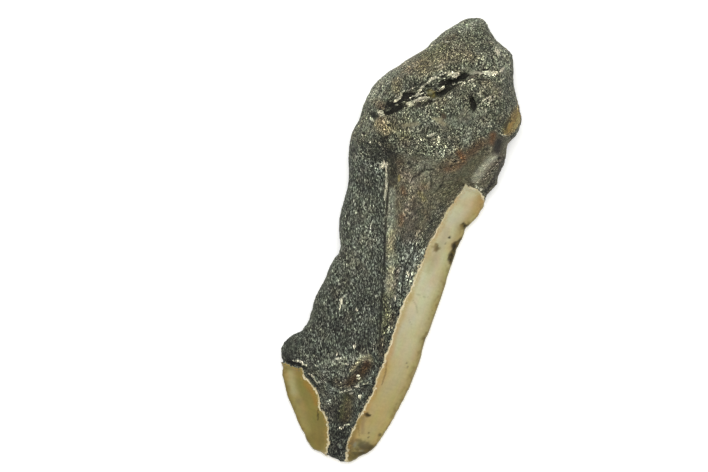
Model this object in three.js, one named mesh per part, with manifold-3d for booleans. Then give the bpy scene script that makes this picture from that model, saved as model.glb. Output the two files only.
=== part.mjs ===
// A broken and worn fossil shark tooth, lying on its flat labial side with the domed lingual side up.
// Millimetres, +Z up. +Y runs from the tip to the root, and +X points to the cutting edge that is left.
// The origin is the middle of the tooth's footprint, in the plane that it rests on.
// The tooth grew as one piece, so it is one solid: dark dentine and root, with two patches of the
// crown's enamel still on it, each ending in a ragged ledge.
import * as THREE from "three";
import { mergeVertices } from "three/addons/utils/BufferGeometryUtils.js";
import Module from "manifold-3d";

const { clamp, degToRad, lerp, smoothstep } = THREE.MathUtils;
const wasm = await Module();
wasm.setup();

// ---------------------------------------------------------------- driving dimensions

const TIP_Y = -60.3;
const ROOT_Y = 60.3;
const ENAMEL = 0.9; // thickness of the enamel
const EDGE_INSET = 0.6; // how far the enamel covers the dentine sideways at a cutting edge
const TIP_INSET = 0.12; // and at the tip
const CROWN_END_Y = 12; // the crown's thin section turns into the root's thick one from here
const ROOT_START_Y = 27; // to here
const NECK_Y = [16, 23]; // the enamel's thickness fades out over this stretch of the neck
const LEFT_BREAK_Y = [-43, -38.5]; // above this the left side is broken, below it is a cutting edge
const END_ROUND = { tip: 3.2, root: 4.5 }; // how far the ends are rounded, along the tooth
const GRAIN = degToRad(20); // the dentine's fibres lean this far from +Y towards -X

const ROW_PITCH = 2.0; // facets along the tooth
const LINGUAL_COLUMNS = 18; // facets between the crest and each edge, on the domed side
const LABIAL_COLUMNS = 8; // and on the flat side

// The outline seen from above, tip to root, as [y, x].
const LEFT_EDGE = [
  [-60.3, 1.2], [-59.8, -1.2], [-58.7, -3.0], [-55.0, -7.4], [-50.0, -12.0], [-45.0, -15.6],
  [-42.5, -16.6], [-40.0, -17.9], [-37.6, -18.6], [-34.0, -17.1], [-31.4, -14.7], [-29.0, -14.2],
  [-22.5, -14.6], [-17.0, -13.9], [-12.5, -13.7], [-9.0, -12.7], [-5.5, -14.1], [-3.0, -15.2],
  [0.0, -15.9], [6.0, -16.4], [9.5, -17.0], [14.5, -18.9], [21.0, -20.3], [24.5, -19.7],
  [28.0, -20.0], [34.0, -19.2], [37.0, -18.0], [42.0, -14.4], [47.5, -10.2], [52.5, -7.5],
  [57.8, -3.6], [59.3, -1.5], [60.3, 0.6],
];
const RIGHT_EDGE = [
  [-60.3, 6.0], [-59.8, 7.4], [-57.8, 10.4], [-54.4, 13.2], [-51.5, 14.1], [-45.0, 15.4],
  [-36.0, 16.4], [-30.0, 16.7], [-24.0, 16.1], [-22.0, 16.4], [-12.0, 16.2], [0.0, 15.8],
  [5.8, 16.2], [7.0, 16.0], [10.2, 17.5], [14.5, 18.4], [16.2, 18.0], [18.0, 18.2],
  [22.5, 19.3], [26.0, 19.7], [28.5, 19.6], [31.5, 18.7], [35.8, 20.3], [40.0, 19.5],
  [44.5, 16.5], [48.5, 14.3], [53.0, 12.8], [54.5, 11.8], [55.8, 7.6], [57.8, 4.6],
  [59.6, 3.0], [60.3, 1.6],
];

// The crest of the domed side, and the height of the rims, tip to root, as [y, value].
const CREST_X = [
  [-60.3, 4.0], [-50.0, 4.4], [-40.0, 5.4], [-32.0, 6.0], [-28.0, 5.2], [-24.0, 4.0], [-18.0, 2.2],
  [-12.0, 0.5], [-5.0, -2.0], [2.0, -4.0], [8.0, -6.3], [13.0, -7.8], [19.0, -9.0], [27.0, -8.0],
  [36.0, -3.5], [44.0, 0.5], [52.0, 1.6], [60.3, 1.2],
];
const CREST_HEIGHT = [
  [-60.3, 4.8], [-57.0, 5.7], [-50.0, 7.6], [-42.0, 9.2], [-34.0, 10.6], [-24.0, 12.0],
  [-12.0, 13.4], [0.0, 14.8], [12.0, 16.6], [22.0, 19.2], [30.0, 22.0], [38.0, 23.2],
  [45.0, 21.4], [51.0, 17.8], [56.0, 13.6], [60.3, 9.0],
];
const LEFT_RIM = [
  [-60.3, 2.0], [-44.0, 3.0], [-37.0, 4.6], [0.0, 5.4], [20.0, 7.0], [34.0, 8.4], [60.3, 5.6],
];
const RIGHT_RIM = [
  [-60.3, 2.0], [-50.0, 2.4], [0.0, 3.0], [14.0, 4.0], [22.0, 6.0], [34.0, 8.0], [60.3, 5.6],
];

// Over this stretch the crest is a ridge, with a step down to the break on its left.
const RIDGE_Y = { start: [-34, -28], end: [15, 21] };
const RIDGE_STEP = { drop: 0.9, within: 0.7, spread: 9 };

// Lines on the domed side, as [x, y].
const ROOT_LEDGE = [[-10, 18.6], [-4, 20.2], [1, 21.4], [4, 22.6], [8, 26], [12, 30], [15.4, 33], [19, 34]];
const TROUGH = [[-15, 27], [-10, 33], [-5, 37.6], [0, 42], [4, 45.8], [9, 47.6]];
const SCARPS = [
  { line: [[-3.5, -36.4], [0, -35.8], [2.2, -33.4], [4.4, -31]], drop: 0.8 },
  { line: [[-4, -42.2], [0.6, -42.4], [3.2, -41], [6.4, -38.4]], drop: 0.6 },
  { line: [[0.8, -53.2], [3, -52.2], [5.8, -51]], drop: 0.4 },
];
const MOUNDS = [
  { x: 2.4, y: 37.6, long: 5.2, wide: 4.4, height: 1.0 }, // boss under the root's crevice
  { x: -15.0, y: -36.4, long: 3.6, wide: 4.0, height: 0.9 }, // knob above the lower patch of enamel
  { x: 12.5, y: 23.5, long: 8.0, wide: 3.6, height: -1.5 }, // hollow of the neck, below the root
  { x: 3.2, y: -37.2, long: 3.8, wide: 2.6, height: -0.9 }, // upper scar of the broken crown
  { x: 2.8, y: -47.2, long: 3.8, wide: 2.4, height: -0.7 }, // lower scar
  { x: -9.0, y: 45.0, long: 4.0, wide: 3.0, height: -0.7 }, // dents and bosses of the root
  { x: 9.0, y: 50.5, long: 3.0, wide: 4.0, height: 0.9 },
  { x: -12.6, y: 24.6, long: 2.4, wide: 3.6, height: 0.6 },
  { x: 11.6, y: 40.0, long: 4.0, wide: 3.0, height: -0.6 },
  { x: 8.6, y: 44.2, long: 1.6, wide: 1.8, height: 0.7 },
];

// The enamel that is left: each patch is the crown's skin inside this outline. Points as [x, y].
const BEYOND = 24; // an x or y outside the crown, where an outline closes
const LINGUAL_STRIP = [
  [7.4, -62], [7.0, -58.5], [6.0, -55], [6.3, -51], [7.2, -44.4], [7.8, -40.6], [7.5, -37],
  [7.7, -33.6], [7.7, -28.4], [7.4, -21.6], [7.3, -18.6], [7.4, -15.6], [7.8, -13], [8.1, -5.6],
  [8.3, -3], [8.2, -0.8], [8.8, 4.2], [9.3, 5.8], [9.9, 10.6], [10.8, 13.8], [11.8, 17.4], [12.1, 18.4],
  [13.6, 18.1], [15.6, 18.3], [17.4, 16.9], [18.4, 16.1], [BEYOND, 16], [BEYOND, -62],
];
const LINGUAL_CORNER = [
  [-BEYOND, -41.3], [-15.6, -41.3], [-13.6, -41.5], [-11.4, -41.1], [-10.2, -43.0], [-8.4, -43.5],
  [-7.0, -44.5], [-5.4, -45.6], [-4.0, -48.2], [-3.3, -49.3], [-2.0, -50.0], [-1.0, -50.8], [0.4, -53.2],
  [1.6, -56.2], [2.6, -62], [-BEYOND, -62],
];
const LABIAL_STRIP = [
  [-4, -62], [-1.6, -57.2], [2.6, -55.6], [4.6, -52], [3.2, -47.4], [4.0, -43], [2.6, -38.6],
  [3.4, -33], [2.0, -28.2], [3.0, -22.4], [2.4, -17], [4.2, -12.6], [3.4, -7], [5.0, -2.2],
  [4.4, 2.8], [6.4, 6.6], [6.0, 10.4], [8.6, 13.2], [11.4, 14.4], [13.6, 13.6], [15.8, 15.2],
  [BEYOND, 15.6], [BEYOND, -62],
];
const LABIAL_CORNER = [
  [-BEYOND, -41.2], [-14.6, -41.6], [-11.8, -43.4], [-9.6, -43.2], [-7.6, -45.6], [-5.4, -46.4],
  [-3.8, -49.4], [-1.6, -51], [-0.8, -54.2], [1.8, -56.4], [4, -62], [-BEYOND, -62],
];
const PATCH_SEAM = [1.4, 4.0]; // upper patches reach down to the first height, lower ones up to the second
const PATCH_TOP = 30;

// Crevices: the middle line as [x, y], the width at the surface and the depth at the widest place.
const CREVICES = [
  {
    line: [[-14.6, 27.6], [-12.2, 30.6], [-9.6, 32.6], [-6.8, 34.2], [-4.2, 36.4], [-1.8, 39], [0.2, 41.6],
      [1.7, 44.2], [4.2, 46.2], [8.2, 47.7]],
    width: 1.9,
    depth: 3.0,
  },
  { line: [[-13.4, 31], [-10.8, 34.2], [-8, 36.6], [-5, 39.2], [-2.4, 41.2]], width: 1.1, depth: 1.6 },
  { line: [[5.4, 41.2], [6.1, 39], [6.8, 37.8], [7.9, 36.6]], width: 1.6, depth: 2.2 },
];

// Bites out of the cutting edge, as ellipsoids.
const CHIPS = [
  { x: 16.5, y: 1.6, along: 2.7, across: 1.0 },
  { x: 16.7, y: 7.4, along: 1.0, across: 1.1 },
  { x: 17.0, y: -23.2, along: 1.0, across: 0.9 },
  { x: 14.9, y: -50.4, along: 0.9, across: 0.8 },
];
const CHIP_HEIGHT = 1.6;

// ---------------------------------------------------------------- curves and distances

// A smooth function through [key, value] pairs in rising order, which never overshoots between two pairs.
function through(pairs) {
  const secant = (i) => (pairs[i + 1][1] - pairs[i][1]) / (pairs[i + 1][0] - pairs[i][0]);
  const slopes = pairs.map((_, i) => {
    if (i === 0) return secant(0);
    if (i === pairs.length - 1) return secant(i - 1);
    const [before, after] = [secant(i - 1), secant(i)];
    return before * after > 0 ? (2 * before * after) / (before + after) : 0;
  });
  return (key) => {
    const next = pairs.findIndex(([k]) => k >= key);
    const i = clamp(next < 0 ? pairs.length : next, 1, pairs.length - 1) - 1;
    const span = pairs[i + 1][0] - pairs[i][0];
    const t = clamp((key - pairs[i][0]) / span, 0, 1);
    const rise = t * t * (3 - 2 * t);
    const bow = t * (1 - t) * span;
    return lerp(pairs[i][1], pairs[i + 1][1], rise) + bow * ((1 - t) * slopes[i] - t * slopes[i + 1]);
  };
}

// Where a point stands against a line of [x, y] points: how far across, positive on the right of someone
// who walks along it, and what share of the way along.
function against(points) {
  const line = points.map(([x, y]) => new THREE.Vector2(x, y));
  return (x, y) => {
    const point = new THREE.Vector2(x, y);
    let best = { across: Infinity, along: 0 };
    for (let i = 0; i + 1 < line.length; i++) {
      const step = line[i + 1].clone().sub(line[i]);
      const to = point.clone().sub(line[i]);
      const share = clamp(to.dot(step) / step.lengthSq(), 0, 1);
      const distance = to.clone().addScaledVector(step, -share).length();
      if (distance < Math.abs(best.across)) {
        const onRight = step.cross(to) < 0;
        best = { across: onRight ? distance : -distance, along: (i + share) / (line.length - 1) };
      }
    }
    return best;
  };
}

// 1 at the middle, falling away smoothly over about one width.
const bump = (distance, width) => Math.exp(-((distance / width) ** 2));

// 1 along a line, fading out over its first and last part.
const fadedEnds = (along) => smoothstep(along, 0, 0.15) * (1 - smoothstep(along, 0.85, 1));

// Rolling unevenness between about -1 and 1, with its hollows about one size apart.
function swell(x, y, size) {
  const k = (2 * Math.PI) / size;
  const waves = [k * (x + 0.4 * y), k * (0.8 * y - 0.6 * x) + 1.7, k * (0.9 * x - 1.3 * y)];
  return waves.reduce((sum, phase) => sum + Math.sin(phase) / waves.length, 0);
}

const leftEdge = through(LEFT_EDGE);
const rightEdge = through(RIGHT_EDGE);
const crestX = through(CREST_X);
const crestHeight = through(CREST_HEIGHT);
const leftRim = through(LEFT_RIM);
const rightRim = through(RIGHT_RIM);
const rootLedge = against(ROOT_LEDGE);
const trough = against(TROUGH);
const scarps = SCARPS.map(({ line, drop }) => ({ place: against(line), drop }));

const rootness = (y) => smoothstep(y, CROWN_END_Y, ROOT_START_Y);
const enamelled = (y) => 1 - smoothstep(y, ...NECK_Y);
const leftBroken = (y) => smoothstep(y, ...LEFT_BREAK_Y);

// The thickness left at the rounded ends, 0 at the very end and 1 from where the rounding starts.
function endFullness(y) {
  const inward = Math.min((y - TIP_Y) / END_ROUND.tip, (ROOT_Y - y) / END_ROUND.root);
  return Math.sqrt(1 - (1 - clamp(inward, 0, 1)) ** 2);
}

// ---------------------------------------------------------------- heights

// Sections from the crest, 0, to an edge, 1, as shares of the crest's height above the rim.
const cuttingEdge = (q) => 1 - q ** 1.45;
const rootSide = (q) => (1 - 0.2 * q * q) * Math.sqrt(1 - q ** 3.6);
const brokenSide = (q) => (1 - 0.34 * q) * Math.sqrt(1 - q ** 6);

// How far a point lies from the crest towards its edge, 0 to 1, and which side it is on.
function station(x, y, left, right) {
  const crest = crestX(y);
  const onRight = x > crest;
  const reach = onRight ? right - crest : crest - left;
  return { onRight, q: clamp(Math.abs(x - crest) / reach, 0, 1) };
}

// The whole crown's domed side, before anything spalled off, and the root's.
function dome(x, y, left, right) {
  const { onRight, q } = station(x, y, left, right);
  const rim = onRight ? rightRim(y) : leftRim(y);
  const side = onRight
    ? lerp(cuttingEdge(q), rootSide(q), rootness(y))
    : lerp(cuttingEdge(q), lerp(brokenSide(q), rootSide(q), rootness(y)), leftBroken(y));
  return rim + (crestHeight(y) - rim) * side * endFullness(y);
}

// What breakage and wear left on the bare dentine and the root, above or below the dome.
function wear(x, y) {
  const across = x - crestX(y);
  const onRidge = smoothstep(y, ...RIDGE_Y.start) * (1 - smoothstep(y, ...RIDGE_Y.end));
  const broken = smoothstep(-across, 0, RIDGE_STEP.within) * bump(across, RIDGE_STEP.spread);
  let height = -onRidge * RIDGE_STEP.drop * broken;

  const ledge = rootLedge(x, y);
  height += 1.1 * smoothstep(-ledge.across, -1.2, 0.8) * smoothstep(y, 14, 20);
  const valley = trough(x, y);
  height -= 1.3 * bump(valley.across, 2.4) * fadedEnds(valley.along);

  for (const { place, drop } of scarps) {
    const { across: below, along: share } = place(x, y);
    if (below > 0) height -= drop * smoothstep(below, 0, 0.8) * bump(below, 5) * fadedEnds(share);
  }
  for (const { x: mx, y: my, long, wide, height: rise } of MOUNDS) {
    height += rise * bump(x - mx, wide) * bump(y - my, long);
  }

  const acrossGrain = x * Math.cos(GRAIN) + y * Math.sin(GRAIN);
  const alongGrain = y * Math.cos(GRAIN) - x * Math.sin(GRAIN);
  const wander = 0.6 * Math.sin(alongGrain / 7);
  const flutes = Math.sin(acrossGrain * 2.1 + wander) * Math.sin(alongGrain / 11 + 1);
  height += 0.2 * flutes * (1 - rootness(y)) * (across < 0 ? 1 : 0.3);
  return height + lerp(0.25, 0.7, rootness(y)) * swell(x, y, lerp(9, 13, rootness(y)));
}

// The flat side: level in its middle, turning up to the rims.
function labial(x, y, left, right) {
  const { onRight, q } = station(x, y, left, right);
  const sharp = onRight ? 1 - rootness(y) : 1 - leftBroken(y);
  const flatShare = lerp(0.66, 0.5, sharp);
  const turn = clamp((q - flatShare) / (1 - flatShare), 0, 1);
  const rim = onRight ? rightRim(y) : leftRim(y);
  const height = rim * lerp(1 - Math.sqrt(1 - turn * turn), turn ** 1.6, sharp);
  return lerp(rim, height, endFullness(y));
}

// The dentine lies lower than the enamel, and the root has shallow hollows between level bearing places.
function labialWear(x, y) {
  const bare = ENAMEL * enamelled(y) + 0.25 * enamelled(y) * (1 + swell(x, y, 8));
  const hollow = 1.4 * clamp(swell(x + 5, y, 17) - 0.15, 0, 1) * smoothstep(y, 22, 28);
  return bare + hollow;
}

// ---------------------------------------------------------------- the two bodies

// Where the rows stand along the tooth: closer together at a rounded end.
function rowPlaces(from, to) {
  const ends = [0.08, 0.45, 1.1, 2.1];
  const inner = [from + ends.at(-1), to - ends.at(-1)];
  const count = Math.round((inner[1] - inner[0]) / ROW_PITCH);
  const even = Array.from({ length: count - 1 }, (_, i) => lerp(...inner, (i + 1) / count));
  return [...ends.map((d) => from + d), ...even, ...ends.map((d) => to - d).reverse()];
}

// Shares across a row, closer together towards the rims and the crest: -1 is the left rim, 0 the crest and
// 1 the right rim.
const columnPlaces = (count) =>
  Array.from({ length: 2 * count + 1 }, (_, i) => {
    const t = Math.abs(i - count) / count;
    return Math.sign(i - count) * lerp(t, (1 - Math.cos(Math.PI * t)) / 2, 0.6);
  });

// A closed skin of rows across the tooth, with an upper and a lower sheet that share their rims, and a point
// at each end.
function loft({ from, to, left, right, upper, lower }) {
  const rows = rowPlaces(from, to);
  const positions = [];
  const triangles = [];
  const add = (x, y, z) => positions.push(x, y, z) / 3 - 1;

  const sheets = [
    { places: columnPlaces(LINGUAL_COLUMNS), height: upper, up: true },
    { places: columnPlaces(LABIAL_COLUMNS), height: lower, up: false },
  ];
  const rims = rows.map((y) => [add(left(y), y, leftRim(y)), add(right(y), y, rightRim(y))]);
  const poleOf = (y) => add((left(y) + right(y)) / 2, y, (leftRim(y) + rightRim(y)) / 2);
  const poles = [poleOf(from), poleOf(to)];

  for (const { places, height, up } of sheets) {
    const face = (a, b, c) => triangles.push(...(up ? [a, b, c] : [a, c, b]));
    const grid = rows.map((y, row) =>
      places.map((share, column) => {
        if (column === 0) return rims[row][0];
        if (column === places.length - 1) return rims[row][1];
        const x = lerp(crestX(y), share < 0 ? left(y) : right(y), Math.abs(share));
        return add(x, y, height(x, y, left(y), right(y)));
      }),
    );
    const last = grid.at(-1);
    for (let c = 0; c + 1 < places.length; c++) {
      face(poles[0], grid[0][c + 1], grid[0][c]);
      face(poles[1], last[c], last[c + 1]);
      for (let r = 0; r + 1 < rows.length; r++) {
        const [a, b, d, e] = [grid[r][c], grid[r][c + 1], grid[r + 1][c], grid[r + 1][c + 1]];
        face(a, b, e);
        face(a, e, d);
      }
    }
  }
  const geometry = new THREE.BufferGeometry();
  geometry.setAttribute("position", new THREE.Float32BufferAttribute(positions, 3));
  geometry.setIndex(triangles);
  return solidOf(geometry);
}

// A three.js geometry as a solid that can be joined and cut.
function solidOf(geometry) {
  const bare = geometry.clone();
  bare.deleteAttribute("normal");
  bare.deleteAttribute("uv");
  const merged = mergeVertices(bare, 1e-4);
  return new wasm.Manifold(
    new wasm.Mesh({
      numProp: 3,
      vertProperties: new Float32Array(merged.attributes.position.array),
      triVerts: new Uint32Array(merged.index.array),
    }),
  );
}

// Bare dentine and root, from tip to root.
function dentineBody() {
  const insetRight = (y) => EDGE_INSET * enamelled(y);
  const insetLeft = (y) => EDGE_INSET * (1 - leftBroken(y));
  const inside = (x, y, left, right) => endFullness(y) * (1 - station(x, y, left, right).q ** 8);
  return loft({
    from: TIP_Y + TIP_INSET,
    to: ROOT_Y,
    left: (y) => leftEdge(y) + insetLeft(y),
    right: (y) => rightEdge(y) - insetRight(y),
    upper: (x, y, left, right) =>
      dome(x, y, left, right) + inside(x, y, left, right) * (wear(x, y) - ENAMEL * enamelled(y)),
    lower: (x, y, left, right) => labial(x, y, left, right) + inside(x, y, left, right) * labialWear(x, y),
  });
}

// The whole crown with all its enamel, which the patches are cut from.
function crownBody() {
  return loft({ from: TIP_Y, to: NECK_Y[1], left: leftEdge, right: rightEdge, upper: dome, lower: labial });
}

// ---------------------------------------------------------------- patches, crevices and chips

// An upright block over an outline of [x, y] points.
function block(outline, bottom, top) {
  const shape = new THREE.Shape(outline.map(([x, y]) => new THREE.Vector2(x, y)));
  const geometry = new THREE.ExtrudeGeometry(shape, { depth: top - bottom, bevelEnabled: false });
  geometry.translate(0, 0, bottom);
  return solidOf(geometry);
}

function enamelPatches() {
  const crown = crownBody();
  const upper = [LINGUAL_STRIP, LINGUAL_CORNER].map((outline) => block(outline, PATCH_SEAM[0], PATCH_TOP));
  const lower = [LABIAL_STRIP, LABIAL_CORNER].map((outline) => block(outline, -1, PATCH_SEAM[1]));
  return crown.intersect(wasm.Manifold.union([...upper, ...lower]));
}

// A blade with a V section that follows a line over the domed side, tapering to both ends.
function crevice({ line, width, depth }) {
  const OVER = 2.5; // how far the blade stands above the surface
  const path = new THREE.SplineCurve(line.map(([x, y]) => new THREE.Vector2(x, y)));
  const steps = 3 * (line.length - 1);
  const positions = [];
  const triangles = [];
  for (let i = 0; i <= steps; i++) {
    const { x, y } = path.getPoint(i / steps);
    const tangent = path.getTangent(i / steps);
    const fullness = Math.sin(Math.PI * lerp(0.04, 0.96, i / steps)) ** 0.7;
    const surface = dome(x, y, leftEdge(y), rightEdge(y)) - ENAMEL * enamelled(y) + wear(x, y);
    const spread = (width / 2) * fullness * ((depth + OVER) / depth);
    positions.push(x - tangent.y * spread, y + tangent.x * spread, surface + OVER);
    positions.push(x, y, surface - depth * fullness);
    positions.push(x + tangent.y * spread, y - tangent.x * spread, surface + OVER);
  }
  for (let i = 0; i < steps; i++) {
    for (let side = 0; side < 3; side++) {
      const [a, b] = [3 * i + side, 3 * i + ((side + 1) % 3)];
      triangles.push(a, b + 3, b, a, a + 3, b + 3);
    }
  }
  triangles.push(0, 1, 2, 3 * steps, 3 * steps + 2, 3 * steps + 1);
  const geometry = new THREE.BufferGeometry();
  geometry.setAttribute("position", new THREE.Float32BufferAttribute(positions, 3));
  geometry.setIndex(triangles);
  return solidOf(geometry);
}

function chip({ x, y, along, across }) {
  const geometry = new THREE.SphereGeometry(1, 12, 8);
  geometry.scale(across, along, CHIP_HEIGHT);
  geometry.translate(x, y, rightRim(y));
  return solidOf(geometry);
}

// ---------------------------------------------------------------- the tooth

function toothGeometry() {
  const whole = dentineBody().add(enamelPatches());
  const cutters = [...CREVICES.map(crevice), ...CHIPS.map(chip)];
  const tooth = whole.subtract(wasm.Manifold.union(cutters));
  const mesh = tooth.getMesh();
  const geometry = new THREE.BufferGeometry();
  geometry.setAttribute("position", new THREE.BufferAttribute(mesh.vertProperties, 3));
  geometry.setIndex(new THREE.BufferAttribute(mesh.triVerts, 1));
  geometry.computeVertexNormals();
  return geometry;
}

const fossil = new THREE.MeshStandardMaterial({ color: 0x4d4d49, roughness: 0.8, metalness: 0 });
const tooth = new THREE.Mesh(toothGeometry(), fossil);
tooth.name = "tooth";

const part = new THREE.Group();
part.add(tooth);

export default part;
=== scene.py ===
"""A broken fossil shark tooth: the fine surface over its solid, its finish, and a plain pale stage.

Settings and meshes are in metres, as Blender's are. The tables and the named sizes below them, Surface
and the functions that work on it are in millimetres. The tooth lies on its flat labial side, +Y runs
from the worn tip to the root, and +X points to the cutting edge that is left.
"""
from math import cos, pi, radians, sin

import bpy
import numpy as np
from bpy.props import FloatProperty, FloatVectorProperty, IntProperty, PointerProperty
from bpy.types import Operator, Panel, PropertyGroup
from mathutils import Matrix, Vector, noise


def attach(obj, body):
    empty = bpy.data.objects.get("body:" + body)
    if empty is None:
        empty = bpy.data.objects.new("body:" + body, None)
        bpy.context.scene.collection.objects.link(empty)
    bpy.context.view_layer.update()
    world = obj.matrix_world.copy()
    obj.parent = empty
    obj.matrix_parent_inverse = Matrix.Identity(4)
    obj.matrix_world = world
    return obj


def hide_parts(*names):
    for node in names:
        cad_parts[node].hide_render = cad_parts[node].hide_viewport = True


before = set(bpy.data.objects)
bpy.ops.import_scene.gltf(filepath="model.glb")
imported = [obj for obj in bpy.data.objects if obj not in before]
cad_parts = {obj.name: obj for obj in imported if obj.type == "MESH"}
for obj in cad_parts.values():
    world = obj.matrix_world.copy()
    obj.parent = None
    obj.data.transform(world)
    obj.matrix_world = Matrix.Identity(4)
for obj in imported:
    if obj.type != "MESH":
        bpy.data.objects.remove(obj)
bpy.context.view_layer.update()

bl_info = {
    "name": "Fossil Shark Tooth",
    "version": (1, 0, 0),
    "blender": (4, 5, 0),
    "location": "View3D > Sidebar > Fossil",
    "description": "Models a broken fossil shark tooth with strips of enamel on dark dentine",
    "category": "Add Mesh",
}

MM = 0.001
TOOTH = "fossil_tooth"

# ---------------------------------------------------------------- places on the tooth, in millimetres

# The enamel that is left, on the domed side and on the flat side, as outlines that close outside the crown.
BEYOND = 24
LINGUAL_ENAMEL = [
    [
        (7.4, -62), (7.0, -58.5), (6.0, -55), (6.3, -51), (7.2, -44.4), (7.8, -40.6), (7.5, -37),
        (7.7, -33.6), (7.7, -28.4), (7.4, -21.6), (7.3, -18.6), (7.4, -15.6), (7.8, -13), (8.1, -5.6),
        (8.3, -3), (8.2, -0.8), (8.8, 4.2), (9.3, 5.8), (9.9, 10.6), (10.8, 13.8), (11.8, 17.4),
        (12.1, 18.4), (13.6, 18.1), (15.6, 18.3), (17.4, 16.9), (18.4, 16.1),
        (BEYOND, 16), (BEYOND, -62),
    ],
    [
        (-BEYOND, -41.3), (-15.6, -41.3), (-13.6, -41.5), (-11.4, -41.1), (-10.2, -43), (-8.4, -43.5),
        (-7, -44.5), (-5.4, -45.6), (-4, -48.2), (-3.3, -49.3), (-2, -50), (-1, -50.8), (0.4, -53.2),
        (1.6, -56.2), (2.6, -62), (-BEYOND, -62),
    ],
]
LABIAL_ENAMEL = [
    [
        (-4, -62), (-1.6, -57.2), (2.6, -55.6), (4.6, -52), (3.2, -47.4), (4.0, -43), (2.6, -38.6),
        (3.4, -33), (2.0, -28.2), (3.0, -22.4), (2.4, -17), (4.2, -12.6), (3.4, -7), (5.0, -2.2),
        (4.4, 2.8), (6.4, 6.6), (6.0, 10.4), (8.6, 13.2), (11.4, 14.4), (13.6, 13.6), (15.8, 15.2),
        (BEYOND, 15.6), (BEYOND, -62),
    ],
    [
        (-BEYOND, -41.2), (-14.6, -41.6), (-11.8, -43.4), (-9.6, -43.2), (-7.6, -45.6), (-5.4, -46.4),
        (-3.8, -49.4), (-1.6, -51), (-0.8, -54.2), (1.8, -56.4), (4, -62), (-BEYOND, -62),
    ],
]

RIDGE = [(6.2, -32), (4.0, -24), (0.5, -12), (-4.0, 2), (-7.8, 13), (-9.5, 19)]
ROOT_LEDGE = [(-24, 17), (-10, 18.6), (-4, 20.2), (4, 22.6), (8, 26), (12, 30), (15.4, 33), (24, 34.5)]

# Where the surface swells out past the solid, or is chipped: how far, half width and middle line.
SWELLS = [
    (0.9, 1.8, [(17.7, 17.4), (18.8, 21.5)]),
    (0.3, 1.6, [(19.6, 35), (19.8, 40)]),
    (0.5, 1.6, [(6.6, -60), (9, -59)]),
    (0.5, 1.6, [(-3.6, -58.4), (-1, -59.8)]),
    (-0.6, 1.1, [(16.6, -22.6), (16.6, -23.6)]),
]

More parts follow.
